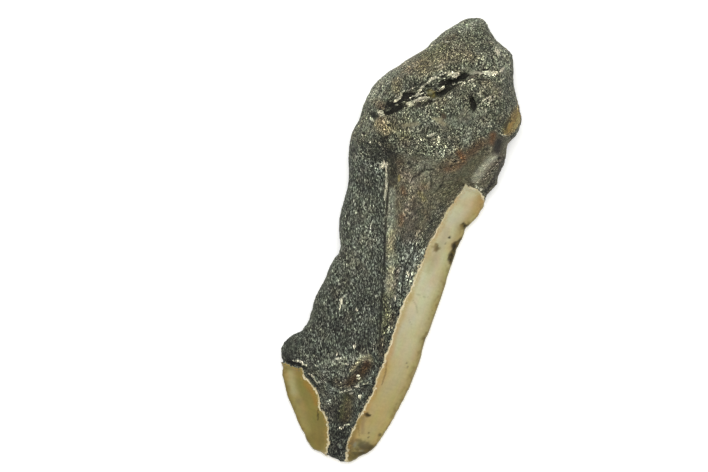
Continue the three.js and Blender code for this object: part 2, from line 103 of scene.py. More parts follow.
# Soft stretches of colour on the dentine and the root: paint, strength, half width and middle line.
DENTINE_STRETCHES = [
    # the root
    ("sage", 0.4, 3.0, [(-19, 31), (-17.5, 38), (-12, 46), (-7, 54), (0, 59)]),
    ("brown", 0.45, 3.0, [(-12.5, 41), (-9, 45)]),
    ("brown", 0.6, 1.6, [(-17.2, 30.4), (-15.4, 29.6)]),
    ("tan", 0.35, 1.3, [(-14, 37), (-13.4, 34.6)]),
    ("tan", 0.3, 3.6, [(-10, 43), (-5, 47), (0, 50)]),
    ("olive", 0.4, 3.0, [(-9, 45), (-6, 50)]),
    ("slate", 0.15, 4.0, [(5, 52), (9, 49), (13, 45)]),
    ("tan", 0.35, 2.2, [(8, 44), (10.6, 43.4)]),
    ("brown", 0.15, 3.2, [(1.5, 38), (4, 38.6)]),
    ("sage", 0.3, 2.0, [(1.6, 30.8), (4, 32.8), (7, 35.4), (9.4, 37.4)]),
    ("sage", 0.4, 2.0, [(-8.4, 26), (-6.4, 26.8), (-4.6, 29.4), (-3.4, 31.4)]),
    ("sage", 0.25, 2.0, [(4.8, 47.4), (5, 50.4), (7.4, 49.4), (11.4, 50.4)]),
    ("sage", 0.42, 1.6, [(-5, 38.2), (-3.8, 39.8)]),
    ("sage", 0.22, 1.8, [(8.6, 43.2), (9.8, 43.4)]),
    ("sage", 0.25, 1.8, [(8.4, 34.6), (9.2, 34), (12.4, 32.4)]),
    ("sage", 0.28, 2.0, [(2.4, 36.7), (2.2, 36)]),
    ("sage", 0.3, 2.0, [(3.8, 31.4), (7.6, 31.8), (8.6, 28)]),
    ("sage", 0.2, 2.0, [(-0.6, 31), (1, 31)]),
    ("sage", 0.42, 1.8, [(1.4, 46), (3, 46)]),
    ("sage", 0.5, 1.4, [(8, 54), (9.6, 53.4)]),
    ("umber", 0.55, 1.8, [(-5.8, 51.6), (-4, 53.4)]),
    # the root's lower left corner, and the dark hollow below it
    ("tan", 0.8, 2.2, [(-14.2, 25.6), (-12, 24)]),
    ("brown", 0.4, 2.4, [(-13.6, 27), (-8, 25.6), (-5.6, 21)]),
    ("olive", 0.35, 2.2, [(-11.4, 25.6), (-7, 25)]),
    ("void", 0.75, 2.8, [(-12.4, 21.4), (-9.6, 20), (-7.6, 17.4), (-6.4, 14)]),
    ("void", 0.5, 2.8, [(-17, 20), (-12, 17)]),
    ("brown", 0.6, 1.6, [(-6, 18), (-4.6, 15.8)]),
    # the neck
    ("rose", 0.7, 3.2, [(-3.4, 16.5), (-0.8, 13), (1.4, 6), (2.6, 1.6)]),
    ("sage", 0.5, 1.8, [(0.8, 20.4), (2.4, 17)]),
    ("sage", 0.42, 2.0, [(3.6, 22.8), (1.4, 19.4), (-2.6, 17.6)]),
    ("sage", 0.28, 1.8, [(-6.6, 21), (-4.4, 19.8)]),
    ("sand", 0.4, 1.8, [(-1, 12.8), (-0.4, 10.8)]),
    ("sand", 0.2, 1.8, [(1.4, 15.4), (2.4, 15)]),
    # beside the neck
    ("void", 0.45, 1.4, [(-6.6, 12), (-6, 10)]),
    ("void", 0.4, 1.8, [(-10.8, 6), (-10.6, 3.4)]),
    ("umber", 0.35, 1.4, [(13.4, 26), (14, 27.8)]),
    # streaks and stains of the neck
    ("tan", 0.3, 1.6, [(-2.6, 16), (-0.6, 12)]),
    ("rust", 0.5, 1.2, [(-3, 11.8), (-2.2, 10.6)]),
    ("frost", 0.12, 1.8, [(-2.2, 15.4), (-0.6, 12.4)]),
    ("sage", 0.3, 1.5, [(1, 21), (1.4, 18.4)]),
    ("moss", 0.35, 1.1, [(1.6, 12.2), (3.2, 11)]),
    ("umber", 0.4, 1.3, [(0.8, 9.8), (1.4, 7.8)]),
    ("rust", 0.25, 1.3, [(1.8, 13.8), (2.4, 14.2)]),
    ("rust", 0.45, 1.1, [(-0.7, 5), (-0.2, 3)]),
    ("slate", 0.3, 1.6, [(2.8, 8.4), (3.4, 3.6)]),
    ("umber", 0.45, 1.9, [(5, 7.6), (6.4, 6.4)]),
    ("umber", 0.4, 1.2, [(4.4, 3.4), (6, 3)]),
    ("face", 0.7, 1.9, [(7, 1), (7.4, 6), (8.4, 10.6)]),
    ("neck", 0.6, 3.0, [(3, 19), (7.4, 16)]),
    # the brown stains below the root's ledge, and the pale, painted sheen on the worn stretch to the right
    ("olive", 0.35, 3.0, [(8, 14), (11, 20), (12, 25)]),
    ("umber", 0.5, 1.9, [(10.2, 26.4), (12.8, 29.6)]),
    ("brown", 0.6, 2.4, [(5, 20.6), (8, 23), (11, 28)]),
    ("rust", 0.2, 1.6, [(9.6, 25), (12.4, 30)]),
    ("rust", 0.8, 1.2, [(7.8, 25.2), (9, 24.4)]),
    ("rust", 0.45, 1.2, [(6.2, 20.4), (8.6, 22), (9.6, 23.6)]),
    ("rust", 0.8, 1.4, [(14.2, 32.6), (14.8, 31)]),
    ("tan", 0.3, 1.4, [(5.6, 22.6), (8, 21)]),
    # painted sheen: silver laid as a pale streak where the worn stretch catches the light
    ("silver", 0.95, 1.4, [(14, 20.4), (15.2, 24), (16.7, 27.8)]),
    ("rose", 0.7, 1.0, [(16, 21), (17.2, 24.6), (18.4, 28.4)]),
    # painted shade: slate darkens the root's right edge, where the surface turns down
    ("slate", 0.8, 1.2, [(17.8, 18.4), (18.8, 23.6), (19.2, 28)]),
    ("slate", 1.0, 1.9, [(16.4, 31.4), (16.8, 29.2)]),
    # the broken face
    ("sage", 0.2, 6.0, [(-9.4, 4), (-8.6, -12)]),
    ("void", 0.3, 1.8, [(-12.6, -4), (-8.6, -15)]),
    ("void", 0.25, 1.6, [(-9, 8), (-5, -3)]),
    ("void", 0.3, 1.6, [(-6.4, -12), (-2.6, -21)]),
    # the pale band beside the ridge
    ("sage", 0.8, 1.6, [(-5.2, 10), (-3.6, 5), (-2.4, 0)]),
    ("sand", 0.75, 1.4, [(-1.6, 0), (-0.8, -3.6), (0.2, -6)]),
    ("sage", 0.8, 1.7, [(0.6, -6), (1.6, -10), (2.8, -14)]),
    ("sand", 0.55, 1.4, [(1.4, -9), (3.4, -15)]),
    ("rose", 0.6, 0.9, [(3, -8), (3.4, -11), (3.8, -13.4)]),
    # between the band and the strip
    ("olive", 0.6, 1.5, [(2.6, -16), (4.2, -20), (5, -25)]),
    ("umber", 0.5, 1.3, [(5.8, -19.6), (6.4, -23)]),
    ("frost", 0.12, 2.2, [(4, 0), (5, -6), (6.2, -12)]),
    ("slate", 0.8, 1.0, [(3.2, 1.2), (5, 0.6)]),
    ("sage", 0.3, 0.9, [(7.6, 0), (7.4, -5), (7.4, -12)]),
    ("frost", 0.4, 1.2, [(7, -2.4), (7, -5)]),
    # pale and dark patches down the broken face and beside the ridge
    ("sage", 0.1, 1.6, [(-14, -4), (-13.4, -12), (-13.8, -22), (-14, -30)]),
    ("void", 0.3, 3.0, [(-11, -28), (-6, -29)]),
    ("void", 0.45, 1.8, [(-0.4, -29), (1.6, -32.2)]),
    ("sage", 0.2, 1.6, [(-12, -22.6), (-11.4, -24.6)]),
    ("sage", 0.25, 1.4, [(3, -15.6), (3.6, -17)]),
    ("sage", 0.2, 1.2, [(4.1, -24.8), (4.5, -26.6)]),
    # the shade along the root's crevice
    ("void", 0.6, 2.2, [(-14, 30), (-9.6, 34), (-3, 39.8), (1.4, 43)]),
    # the knob on the left, and the scars between the knob, the strip and the tip
    ("slate", 0.25, 3.4, [(-16.4, -37)]),
    # painted shadow: near black along the knob's lower edge
    ("void", 0.75, 1.6, [(-17.4, -39.6), (-14.6, -40.6)]),
    ("void", 0.75, 3.2, [(1, -48), (3.6, -52), (4.2, -59)]),
    ("umber", 0.6, 1.4, [(5.4, -27), (6.6, -30.6)]),
    ("umber", 1.0, 2.1, [(4.2, -34.6), (3.2, -37.4), (1.2, -40.4)]),
    ("rust", 0.15, 1.2, [(3.8, -33.6), (3.6, -36)]),
    ("sand", 0.65, 0.8, [(4.4, -32.8), (3.6, -32), (2, -33.8), (0.8, -37)]),
    ("umber", 0.7, 2.1, [(2.6, -44), (3.6, -49.4)]),
    ("olive", 0.5, 2.1, [(2, -44), (2.6, -49)]),
    ("tan", 0.2, 1.2, [(2.8, -45.6), (3.6, -48.6)]),
    ("sage", 0.45, 1.5, [(-3.2, -35.8), (-1.4, -38.6)]),
    ("sage", 0.4, 1.3, [(-7, -38.4), (-3.4, -36.2), (0, -34.4), (3, -31.8)]),
    ("umber", 0.5, 1.8, [(-2, -41.2), (-0.4, -42)]),
    ("frost", 0.06, 1.2, [(-6, -40.4), (-3, -43.6), (-2, -47)]),
    # the golden chip on the right edge
    ("gold", 1.0, 1.9, [(18.4, 40.4), (17.8, 37), (17.6, 35.2)]),
    ("olive", 0.6, 1.0, [(16.9, 37.6), (16.4, 35.2)]),
]

# Crisp marks on the dentine and the root, laid one over the other: paint, strength, half width, height,
# and the points of the mark's middle line. A mark with a height of 0 is only colour.
PLAIN_MARKS = [
    # the root
    ("sand", 0.7, 0.9, 0.2, [(-1.6, 31.4), (0, 31.5), (1.4, 30.8)]),
    ("brown", 0.8, 0.7, 0, [(0.2, 33), (1.2, 32.5)]),
    ("sand", 0.45, 0.6, 0.2, [(-8.4, 27), (-6, 28.2), (-4.4, 29)]),
    ("moss", 0.7, 1.3, 0, [(-5, 37.7), (-3.6, 36.7)]),
    ("sage", 0.4, 0.7, 0, [(-5, 37.6), (-4.2, 37)]),
    # the neck
    ("straw", 0.8, 0.35, 0.1, [(-5, 14.5), (-4.5, 13.2)]),
    ("slate", 1.0, 0.6, 0, [(-3.9, 18.9), (-3.4, 18.2)]),
    # the golden chip
    ("umber", 0.6, 0.4, 0, [(17, 38.8), (16.5, 36.6), (16.8, 35)]),
    ("straw", 0.65, 0.6, 0, [(18.8, 40), (19.2, 37.8), (19, 35.6)]),
    ("amber", 0.5, 0.5, 0, [(17.8, 37.6), (17.6, 35.4)]),
    # smooth, dark hollows
    ("slate", 1.0, 1.3, -0.5, [(16.2, 31.3), (16.7, 29.4)]),
    ("slate", 1.0, 0.85, -0.2, [(-6.8, 33.7), (-6, 33)]),
    # the upper end of the crevice
    ("rose", 0.8, 0.5, 0.3, [(3.4, 44.6), (5, 45.4)]),
    ("silver", 1.0, 0.5, 0.4, [(2.8, 45.4), (4.4, 46.2), (6.2, 46.7)]),
    # beside the strip, and near the tip
    ("frost", 0.6, 0.3, 0.1, [(5.8, -2.6), (6.4, -5), (7, -7.2)]),
    ("frost", 0.5, 0.3, 0.1, [(4.2, -3.8), (4.5, -5.6)]),
    ("frost", 0.3, 0.3, 0.2, [(-2.6, -43.8), (-0.6, -43.4)]),
    ("frost", 0.6, 0.3, 0.1, [(4.6, -56.4), (4.9, -57.2)]),
]

# Marks with edges torn along the fibres: strength, half width, height and middle line.
# The sunken ones below are painted near black: painted shade in the crevice's hollows and the neck's
# cracks, painted shadow along the ridge and the enamel's edges, and dark lines in the sheen.
HOLLOWS = [
    # in the crevice
    (1.0, 0.6, -0.8, [(-13.9, 28.3), (-12.8, 28.9), (-12, 30)]),
    (1.0, 0.8, -0.8, [(-12.6, 29.4), (-11.4, 30.4), (-10.2, 31.6)]),
    (1.0, 0.8, -0.6, [(-14, 31), (-12.6, 31), (-11.8, 32.4), (-10.8, 33.4)]),
    (1.0, 1.0, -0.6, [(-11.6, 34.2), (-10, 34.6), (-8.8, 35.4)]),
    (0.9, 0.45, -0.4, [(-8.8, 35.2), (-7.6, 35.8), (-6.6, 37.2)]),
    (0.8, 0.4, -0.3, [(-9.4, 37), (-8.2, 38), (-7.4, 39.6)]),
    (0.7, 0.3, -0.3, [(-7.2, 37.6), (-6.2, 39), (-5.4, 40.2)]),
    (0.9, 0.4, -0.4, [(-8, 34.2), (-6.4, 35.6), (-5.6, 36.4)]),
    (1.0, 0.55, -0.4, [(-5.8, 33.2), (-4.8, 34.2), (-3.8, 35.4), (-2.8, 36.4)]),
    (1.0, 0.7, -0.7, [(-3, 37.2), (-2, 38.2), (-1, 39.4), (0.2, 40.6)]),
    (1.0, 0.95, -0.7, [(-3.4, 40.4), (-2, 41), (-0.6, 41.6), (0.4, 41)]),
    (0.9, 0.5, -0.5, [(-1, 41.6), (0.4, 42.4), (1, 43.2)]),
    (1.0, 0.9, -0.6, [(1, 43.6), (1.8, 44.3), (2.8, 45)]),
    (0.8, 0.3, -0.3, [(4.4, 46.7), (6, 47.6), (7.8, 48.1)]),
    # elsewhere on the root
    (0.9, 0.4, -0.3, [(5.4, 41.4), (5.8, 40), (6.2, 39)]),
    (1.0, 0.95, -0.7, [(6, 39.2), (6.8, 38), (7.5, 37)]),
    (0.7, 0.35, -0.2, [(5.2, 44.4), (6.6, 45.2), (8.2, 45.4)]),
    (0.7, 0.4, -0.2, [(9.4, 41.4), (8.4, 42), (7.6, 41.8)]),
    (0.8, 0.8, -0.3, [(-17.4, 27), (-15.6, 26.8)]),
    (0.6, 0.35, -0.2, [(2, 33.8), (2.6, 33.2)]),
    (0.6, 0.5, -0.2, [(-12, 22), (-10.6, 23.6)]),
    # above the corner patch
    (0.9, 0.4, -0.4, [(-4.2, -41.8), (-3.2, -42.1), (-2.2, -42.7)]),
    # painted shadow lines along the ridge's step
    (0.7, 0.4, -0.4, [(-6.8, 12), (-4.9, 5), (-2.9, -2), (-1.2, -7), (0.2, -11)]),
    (0.6, 0.4, -0.3, [(0.6, -13), (2, -18), (4.2, -25), (5.6, -30)]),
    # cracks in the neck
    (0.8, 0.31, -0.2, [(0.2, 20.4), (0.7, 18.3), (-0.1, 17), (-0.7, 15.8)]),
    (0.8, 0.31, -0.2, [(0.7, 18.3), (2, 18.6), (2.9, 19.3)]),
    (0.8, 0.32, -0.2, [(4.2, 20.4), (4.9, 19.6)]),
    (0.75, 0.28, -0.15, [(2.4, 17.6), (3.6, 16), (3.8, 13.6)]),
    (0.7, 0.27, -0.15, [(6, 18.6), (6.4, 16.4), (5.4, 14)]),
    (0.75, 0.28, -0.15, [(-2.6, 18.8), (-3.2, 17)]),
    (0.7, 0.26, -0.1, [(-0.3, 16.7), (-1.4, 15.4), (-1.6, 13.6)]),
    # painted shadow along the enamel's broken edges
    (0.8, 0.5, -0.2, [(-15.8, -40.9), (-14.4, -40.5), (-12.4, -40.3), (-10.2, -41)]),
    (0.8, 0.35, -0.2, [(-9.4, -42.4), (-7, -43.4), (-5.2, -45)]),
    (0.7, 0.3, -0.2, [(7.2, -33), (7, -37.6), (7.4, -40.6), (6.6, -44.4)]),
    # between the band and the strip
    (0.6, 0.35, -0.1, [(5.4, -1.6), (4.6, -6.4), (5.4, -11), (6.4, -15)]),
    # dark lines across the painted sheen
    (0.5, 0.2, -0.1, [(14.2, 20.4), (15.6, 23.8), (17.2, 27.8)]),
    (0.4, 0.2, -0.1, [(15.4, 20.8), (16.8, 24.4), (18, 27.8)]),
    (0.5, 0.25, 0, [(15.4, 29.2), (15.7, 28.4), (16.6, 28)]),
    # between the crevice's fibres
    (0.9, 0.22, -0.2, [(-11, 36), (-9.6, 37.2), (-8.8, 38.6)]),
    (0.9, 0.22, -0.2, [(-9.8, 33.4), (-8.4, 34.6), (-7, 36.4)]),
    (0.7, 0.2, -0.2, [(-6.2, 36.8), (-5, 38.4), (-4, 39.8)]),
    (0.9, 0.22, -0.2, [(-4.6, 41.8), (-3, 42.3), (-1.6, 42.6)]),
    (0.8, 0.2, -0.2, [(-14.6, 31.4), (-13.4, 32.8), (-12.6, 34.4)]),
]
BRIGHT_FIBRES = [
    # between the crevice and the neck
    (0.4, 0.2, 0.1, [(-4.2, 29.2), (-3.5, 30.4), (-3.6, 31.3)]),
    # between the crevice's hollows
    (0.8, 0.2, 0.2, [(-10.6, 35.5), (-9.4, 36.8), (-8.3, 37.9)]),
    (0.8, 0.2, 0.2, [(-9.3, 34.1), (-8.2, 35.4), (-7.4, 36.2)]),
    (0.8, 0.2, 0.2, [(-7, 38.6), (-6.3, 39.4)]),
    (0.8, 0.2, 0.2, [(-12.9, 33.4), (-12, 34.4), (-11.2, 35.4)]),
    (0.7, 0.18, 0.2, [(-4.2, 40.2), (-3.1, 40.4)]),
    (0.7, 0.2, 0.2, [(-0.2, 41.2), (0.6, 41.8)]),
    # along the crevice
    (0.8, 0.75, 0.3, [(-15.4, 28.3), (-14.2, 27.7)]),
    (1.0, 0.36, 0.3, [(-12.7, 31.9), (-12, 33), (-11.5, 34.2)]),
    (0.5, 0.25, 0.2, [(-12.2, 31.2), (-11.2, 31.8)]),
    (1.5, 0.9, 0.5, [(-9.2, 32.7), (-8.1, 33.1)]),
    (1.5, 0.5, 0.5, [(-8.3, 33.4), (-7, 34.6), (-5.8, 35.4), (-4.8, 36)]),
    (0.7, 0.22, 0.3, [(-8, 35.1), (-6.9, 36.2), (-6, 37.2)]),
    (1.0, 0.28, 0.3, [(-7.7, 36.6), (-7.2, 37.8), (-6.8, 38.6)]),
    (0.5, 0.22, 0.2, [(-6.4, 35.7), (-5.4, 36.8)]),
    (1.0, 0.4, 0.3, [(-6.1, 39.3), (-5.8, 40.6), (-5.1, 41.3)]),
    (0.9, 0.45, 0.3, [(-5.2, 41.3), (-4.2, 41.7)]),
    (0.75, 0.36, 0.4, [(-3.9, 42.4), (-3.3, 43.2), (-2.4, 43.7)]),
    (0.8, 0.9, 0.3, [(-2.2, 43.8), (-0.9, 43.6), (0.4, 44.2)]),
    (1.0, 0.36, 0.3, [(-2.9, 38.3), (-2.4, 39.2), (-1.9, 40.1)]),
    (0.6, 0.25, 0.2, [(-4.4, 33.1), (-4.2, 34.7)]),
    (0.6, 0.3, 0.2, [(-3.5, 35.6), (-2.6, 36.8)]),
    (0.7, 0.35, 0.3, [(1.2, 42.3), (2, 42.8)]),
    (0.8, 0.25, 0.3, [(2.2, 41.8), (2.7, 43)]),
    (0.7, 0.35, 0.3, [(3.4, 43.4), (5, 44.4)]),
    (1.0, 0.75, 0.4, [(5.8, 46.6), (7.6, 47.2), (9.6, 48.1)]),
    # right of the crevice
    (0.9, 0.4, 0.2, [(4.9, 43.4), (5.4, 42.8)]),
    (1.0, 0.4, 0.2, [(7, 41.2), (7.9, 40.9)]),
    (0.7, 0.25, 0.15, [(8.4, 39), (9, 40.4), (10, 41.6), (11.2, 42)]),
    (0.6, 0.2, 0.15, [(10, 39.6), (10.6, 40.8), (11.6, 41.4)]),
    (0.6, 0.2, 0.1, [(9.6, 42.6), (11.6, 42.4)]),
    # flakes on the root
    (0.65, 0.85, 0.2, [(7.4, 54), (8.4, 52.9)]),
    (0.7, 0.4, 0.2, [(10.3, 48.6), (11.1, 50.2)]),
    (0.6, 0.35, 0.1, [(11, 46), (12, 47.6)]),
    (0.4, 0.3, 0.1, [(-1.6, 57.8), (-0.6, 57.4)]),
    (0.6, 0.3, 0.1, [(-6.4, 51), (-4.6, 51.4)]),
    (0.6, 0.25, 0.1, [(-6, 43.9), (-5, 44.4), (-4.4, 45.4)]),
    (0.4, 0.3, 0.1, [(-11.4, 42.2), (-10, 43)]),
    (0.8, 0.55, 0, [(0, 38), (0.5, 37.8)]),
    (0.9, 0.45, 0.2, [(-17, 25.9), (-16, 25.5)]),
    (0.9, 0.3, 0.1, [(-15, 20)]),
    (0.5, 0.3, 0.1, [(-13, 20.8), (-12, 20.2)]),
    (0.9, 0.36, 0.2, [(-1.6, 26.5), (-0.6, 27.2), (0, 28.1)]),
    (1.0, 0.42, 0.3, [(0.7, 27.7), (1.3, 26.9), (1.8, 26.2)]),
    (0.7, 0.35, 0.2, [(3.4, 28.4), (4.1, 27.8)]),
    (0.4, 0.8, 0.1, [(1.6, 23.8), (2.8, 22.6)]),
    (0.5, 0.35, 0.1, [(10, 38.6), (10.6, 36.8)]),
    (0.5, 0.3, 0.1, [(12.4, 39), (13, 38.2)]),
    (0.6, 0.25, 0.1, [(15.6, 39.6), (16.6, 38.6)]),
    # the upper end of the ridge
    (1.0, 0.3, 0.3, [(-10.6, 15.8), (-10.2, 14.6)]),
    (1.0, 0.4, 0.3, [(-9.9, 16.6), (-9.6, 15)]),
    (1.0, 0.3, 0.3, [(-9.1, 16.6), (-8.8, 15)]),
    (0.85, 0.32, 0.2, [(-9, 15.7), (-8, 13.3), (-7, 10.3), (-6.4, 7.3)]),
    # flakes on the broken face
    (1.0, 0.32, 0.1, [(-8.1, -20), (-7.8, -21.6), (-7.7, -23)]),
    (0.6, 0.34, 0.1, [(-3.8, -21.4), (-3, -22.4)]),
    (0.9, 0.35, 0.1, [(-0.7, -30.6), (-0.5, -31.5)]),
    # between the band and the strip
    (0.8, 0.45, 0.2, [(5.6, -8.2), (6.3, -8.8)]),
    (0.5, 0.35, 0.1, [(2.2, -12.2), (3.4, -13)]),
    (0.6, 0.35, 0.1, [(4.6, -14.8), (5.2, -16.4)]),
    (0.6, 0.4, 0.2, [(7.3, -12.6), (7.7, -13.8)]),
    # the neck
    (0.6, 0.25, 0.1, [(2.2, 5), (2.6, 6.6)]),
    (0.3, 0.2, 0.1, [(5.4, 4.4), (6.4, 6), (7, 7)]),
    # around the brown scars above the tip
    (0.8, 0.3, 0.2, [(-0.2, -43.6), (1, -42.9)]),
    (0.8, 0.35, 0.2, [(1.4, -42.6), (2.4, -41.7)]),
    (0.6, 0.3, 0.2, [(2.2, -43.2), (3.4, -42.4)]),
    (0.7, 0.45, 0.3, [(3.3, -40.8), (4, -40.1)]),
    (0.5, 0.3, 0.2, [(4.4, -39.8), (5.4, -39), (6.2, -38.3)]),
    (0.8, 0.26, 0.2, [(2.5, -38), (3.3, -37.7)]),
    (0.8, 0.26, 0.2, [(2.8, -38.8), (3.5, -38.3)]),
    (0.9, 0.5, 0.2, [(5.1, -42.3), (5.3, -43.2)]),
    # along the corner patch
    (0.7, 0.4, 0.3, [(-14.3, -40), (-12.6, -39.4), (-11.6, -40), (-10.4, -39.9)]),
    (0.7, 0.25, 0.2, [(-9.6, -41.6), (-8, -42.2), (-6.4, -43.6)]),
    (0.7, 0.2, 0.2, [(-7.6, -42.4), (-5.6, -43)]),
    # flakes above the corner patch
    (0.9, 0.4, 0.1, [(-3.9, -35.6), (-3.2, -35.3)]),
    (0.5, 0.25, 0.1, [(-2.4, -35.2), (-0.8, -34.7)]),
    (0.7, 0.35, 0.1, [(-1.4, -36), (-0.6, -36)]),
    (0.7, 0.3, 0.1, [(-8.4, -38.9), (-7.9, -39.3)]),
    (0.6, 0.3, 0.1, [(-4.4, -33.8), (-4.2, -34.8)]),
    (0.6, 0.3, 0.1, [(-9.8, -36.8), (-9.2, -36.9)]),
    # near the tip
    (0.7, 0.35, 0.2, [(2.8, -52.6), (4, -51.8)]),
    (0.6, 0.3, 0.2, [(3.8, -51.2), (5.2, -50.6)]),
    # below the golden chip
    (0.8, 0.3, 0.2, [(12.2, 34.4), (13.2, 34.6)]),
    (0.6, 0.2, 0.2, [(13.2, 34.6), (15, 33.8), (17, 33.5), (17.8, 34)]),
    # at the strip's upper end
    (1.0, 0.4, 0.1, [(14.7, 18.9), (15.2, 18.8)]),
    (1.0, 0.5, 0.1, [(15.8, 18.7), (16.4, 18.5)]),
]
TORN_MARKS = {"void": HOLLOWS, "bone": BRIGHT_FIBRES}

# Soft stretches of colour on the enamel, and crisp marks, in the same order of values.
ENAMEL_STRETCHES = [
    # the strip, down to the tip
    ("amber", 0.5, 1.2, [(17.9, 16.6), (17.5, 12.4)]),
    ("ochre", 0.4, 1.4, [(16.8, 16.6), (16.4, 12), (15.6, 9)]),
    ("amber", 0.25, 1.3, [(11.4, 16), (10, 9), (9.2, 3), (8.8, -3)]),
    ("amber", 0.32, 1.3, [(9.2, 4), (8.8, -4), (8.4, -14)]),
    ("amber", 0.45, 1.2, [(8.2, -14), (8.2, -22), (8.4, -30)]),
    ("amber", 0.45, 1.3, [(8.7, -32), (8.9, -36), (8.5, -42)]),
    ("amber", 0.45, 1.3, [(8, -44), (7.4, -49), (7.2, -54)]),
    ("rose", 0.35, 0.8, [(7.8, -47.4), (8.2, -49.4), (9, -51.4)]),
    ("moss", 0.35, 0.6, [(7.3, -47.6), (7, -51), (7, -54)]),
    ("moss", 0.5, 3.0, [(8.4, -57), (11.6, -55.6)]),
    ("amber", 0.15, 3.0, [(14, 16), (13.6, 9)]),
    ("moss", 0.36, 1.5, [(15.6, -5), (15.8, -12), (16, -22), (16.1, -30), (15.8, -38), (15, -44)]),
    ("moss", 0.3, 1.6, [(11.8, 5), (11.2, -1), (10.6, -6)]),
    ("moss", 0.3, 1.6, [(14.6, 7.2), (14.8, 2.4)]),
    ("bark", 0.6, 1.4, [(7, -58.2), (9, -58.6)]),
    ("stain", 0.35, 1.3, [(7.4, -59), (9, -58.8)]),
    ("bark", 0.55, 1.1, [(6.9, -46.8), (6.8, -49), (7.1, -55)]),
    # the corner patch
    ("ochre", 0.65, 1.1, [(-9.2, -44.6), (-6.6, -46.2), (-5, -48.4)]),
    ("bark", 0.4, 1.8, [(-3.2, -51), (-1.7, -53.2), (0, -56.4)]),
    ("bark", 0.35, 2.4, [(-3, -57), (0.6, -58)]),
    ("straw", 0.5, 2.0, [(-14, -43.6), (-12, -47), (-8.6, -51.6), (-5, -56)]),
    ("cream", 0.25, 1.6, [(-14, -43.6), (-11.6, -47.6)]),
    ("amber", 0.4, 1.0, [(-15, -43.8), (-14.4, -45)]),
    ("rose", 0.3, 1.1, [(-9.5, -49.5)]),
    ("bark", 0.35, 1.2, [(-16, -44), (-9, -54.5), (-3, -59.2)]),
    # stains at the tip
    ("bark", 0.7, 1.5, [(7, -56), (8, -58.6)]),
    ("stain", 0.3, 1.8, [(7.6, -56.8), (8, -58)]),
    ("stain", 0.35, 2.0, [(10, -55.4), (12.4, -54.6)]),
    ("sage", 0.25, 1.4, [(8.4, -55), (10.2, -54.4)]),
    ("stain", 0.55, 1.2, [(9.6, -58), (11.6, -56.6), (13, -54.8)]),
]
ENAMEL_MARKS = [
    # stains at the cutting edge
    ("stain", 0.95, 1.1, [(15.2, 8.4), (16.6, 7.8)]),
    ("bark", 0.7, 0.7, [(14.4, 8), (15.2, 7.4)]),
    ("stain", 1.0, 1.4, [(16.1, 4.4), (15.7, 2.4), (15.8, 0.2)]),
    ("stain", 1.0, 1.4, [(15.8, 1.8), (15.4, -0.2), (15.6, -1.8)]),
    ("stain", 0.9, 0.8, [(14.9, 3.2), (14.8, 1.6)]),
    ("stain", 0.7, 0.5, [(14.8, -0.6), (14.6, -1.8)]),
    # spots on the strip
    ("bark", 0.8, 1.2, [(10.3, 1.0), (10.5, -0.3)]),
    ("stain", 0.4, 0.5, [(10.8, 0.9), (10.7, -0.3)]),
    ("stain", 1.0, 0.42, [(12.8, 3.9)]),
    ("stain", 0.5, 0.3, [(12.4, 2.2)]),
    ("bark", 0.7, 0.8, [(7.8, -46.6), (9, -46.6)]),
    ("stain", 0.9, 0.6, [(7.8, -46.7), (8.6, -46.5), (9.4, -46.5)]),
    ("stain", 0.8, 0.5, [(13.6, -50.4)]),
    # the dark stain at the tip, with paler flecks
    ("stain", 0.3, 1.9, [(7.6, -54.8), (9.6, -55), (11.6, -54.8), (13.4, -54.4)]),
    ("stain", 0.45, 1.2, [(9.4, -54.9), (10.6, -54.6), (12.6, -54.2)]),
    ("stain", 0.4, 0.7, [(8.2, -53.8), (9.4, -53.9), (10.8, -53.6)]),
    ("stain", 0.6, 0.9, [(8.8, -57.2), (9.8, -57.2), (11, -56.4)]),
    ("stain", 0.4, 0.5, [(8.9, -56), (9.6, -56.4)]),
    ("sage", 0.5, 0.4, [(8.1, -54.5), (8.3, -55.6)]),
    ("sage", 0.4, 0.35, [(9.8, -56.2), (10.8, -55.9)]),
    # specks and the small chip
    ("stain", 0.6, 0.3, [(13.6, -30.5)]),
    ("stain", 0.5, 0.3, [(14.2, -31.4)]),
    ("stain", 0.6, 0.3, [(10.5, -51)]),
    ("stain", 0.7, 0.3, [(10.8, -52.1)]),
    ("stain", 1.0, 0.55, [(15.8, -22.6), (16.2, -23.6)]),
    ("bark", 0.5, 0.5, [(15.6, -21.4), (15.9, -25.4)]),
    # hairlines
    ("stain", 0.5, 0.2, [(8.5, -31.6), (9.3, -35), (9.4, -38)]),
    ("stain", 0.4, 0.2, [(8.2, -38.6), (9.1, -41.4)]),
    ("stain", 0.4, 0.16, [(7.2, -50), (8.6, -52.6)]),
    ("stain", 0.7, 0.22, [(-4.2, -49), (-3.7, -50.6), (-3, -52.4)]),
    ("stain", 0.4, 0.2, [(-10.6, -42.4), (-10, -44)]),
    ("stain", 0.25, 0.18, [(9.4, -12.6), (11.4, -13), (13, -12.4)]),
    ("stain", 0.25, 0.18, [(9.6, -14.6), (10.8, -15.6), (11.8, -17.4)]),
    ("stain", 0.2, 0.18, [(10, -19.6), (11.4, -20.6)]),
    # chalky spots on the broken edge
    ("chalk", 0.6, 0.4, [(7.6, -18.6), (7.7, -19.8)]),
    ("chalk", 0.6, 0.3, [(13.6, 18), (15.6, 18.1)]),
]

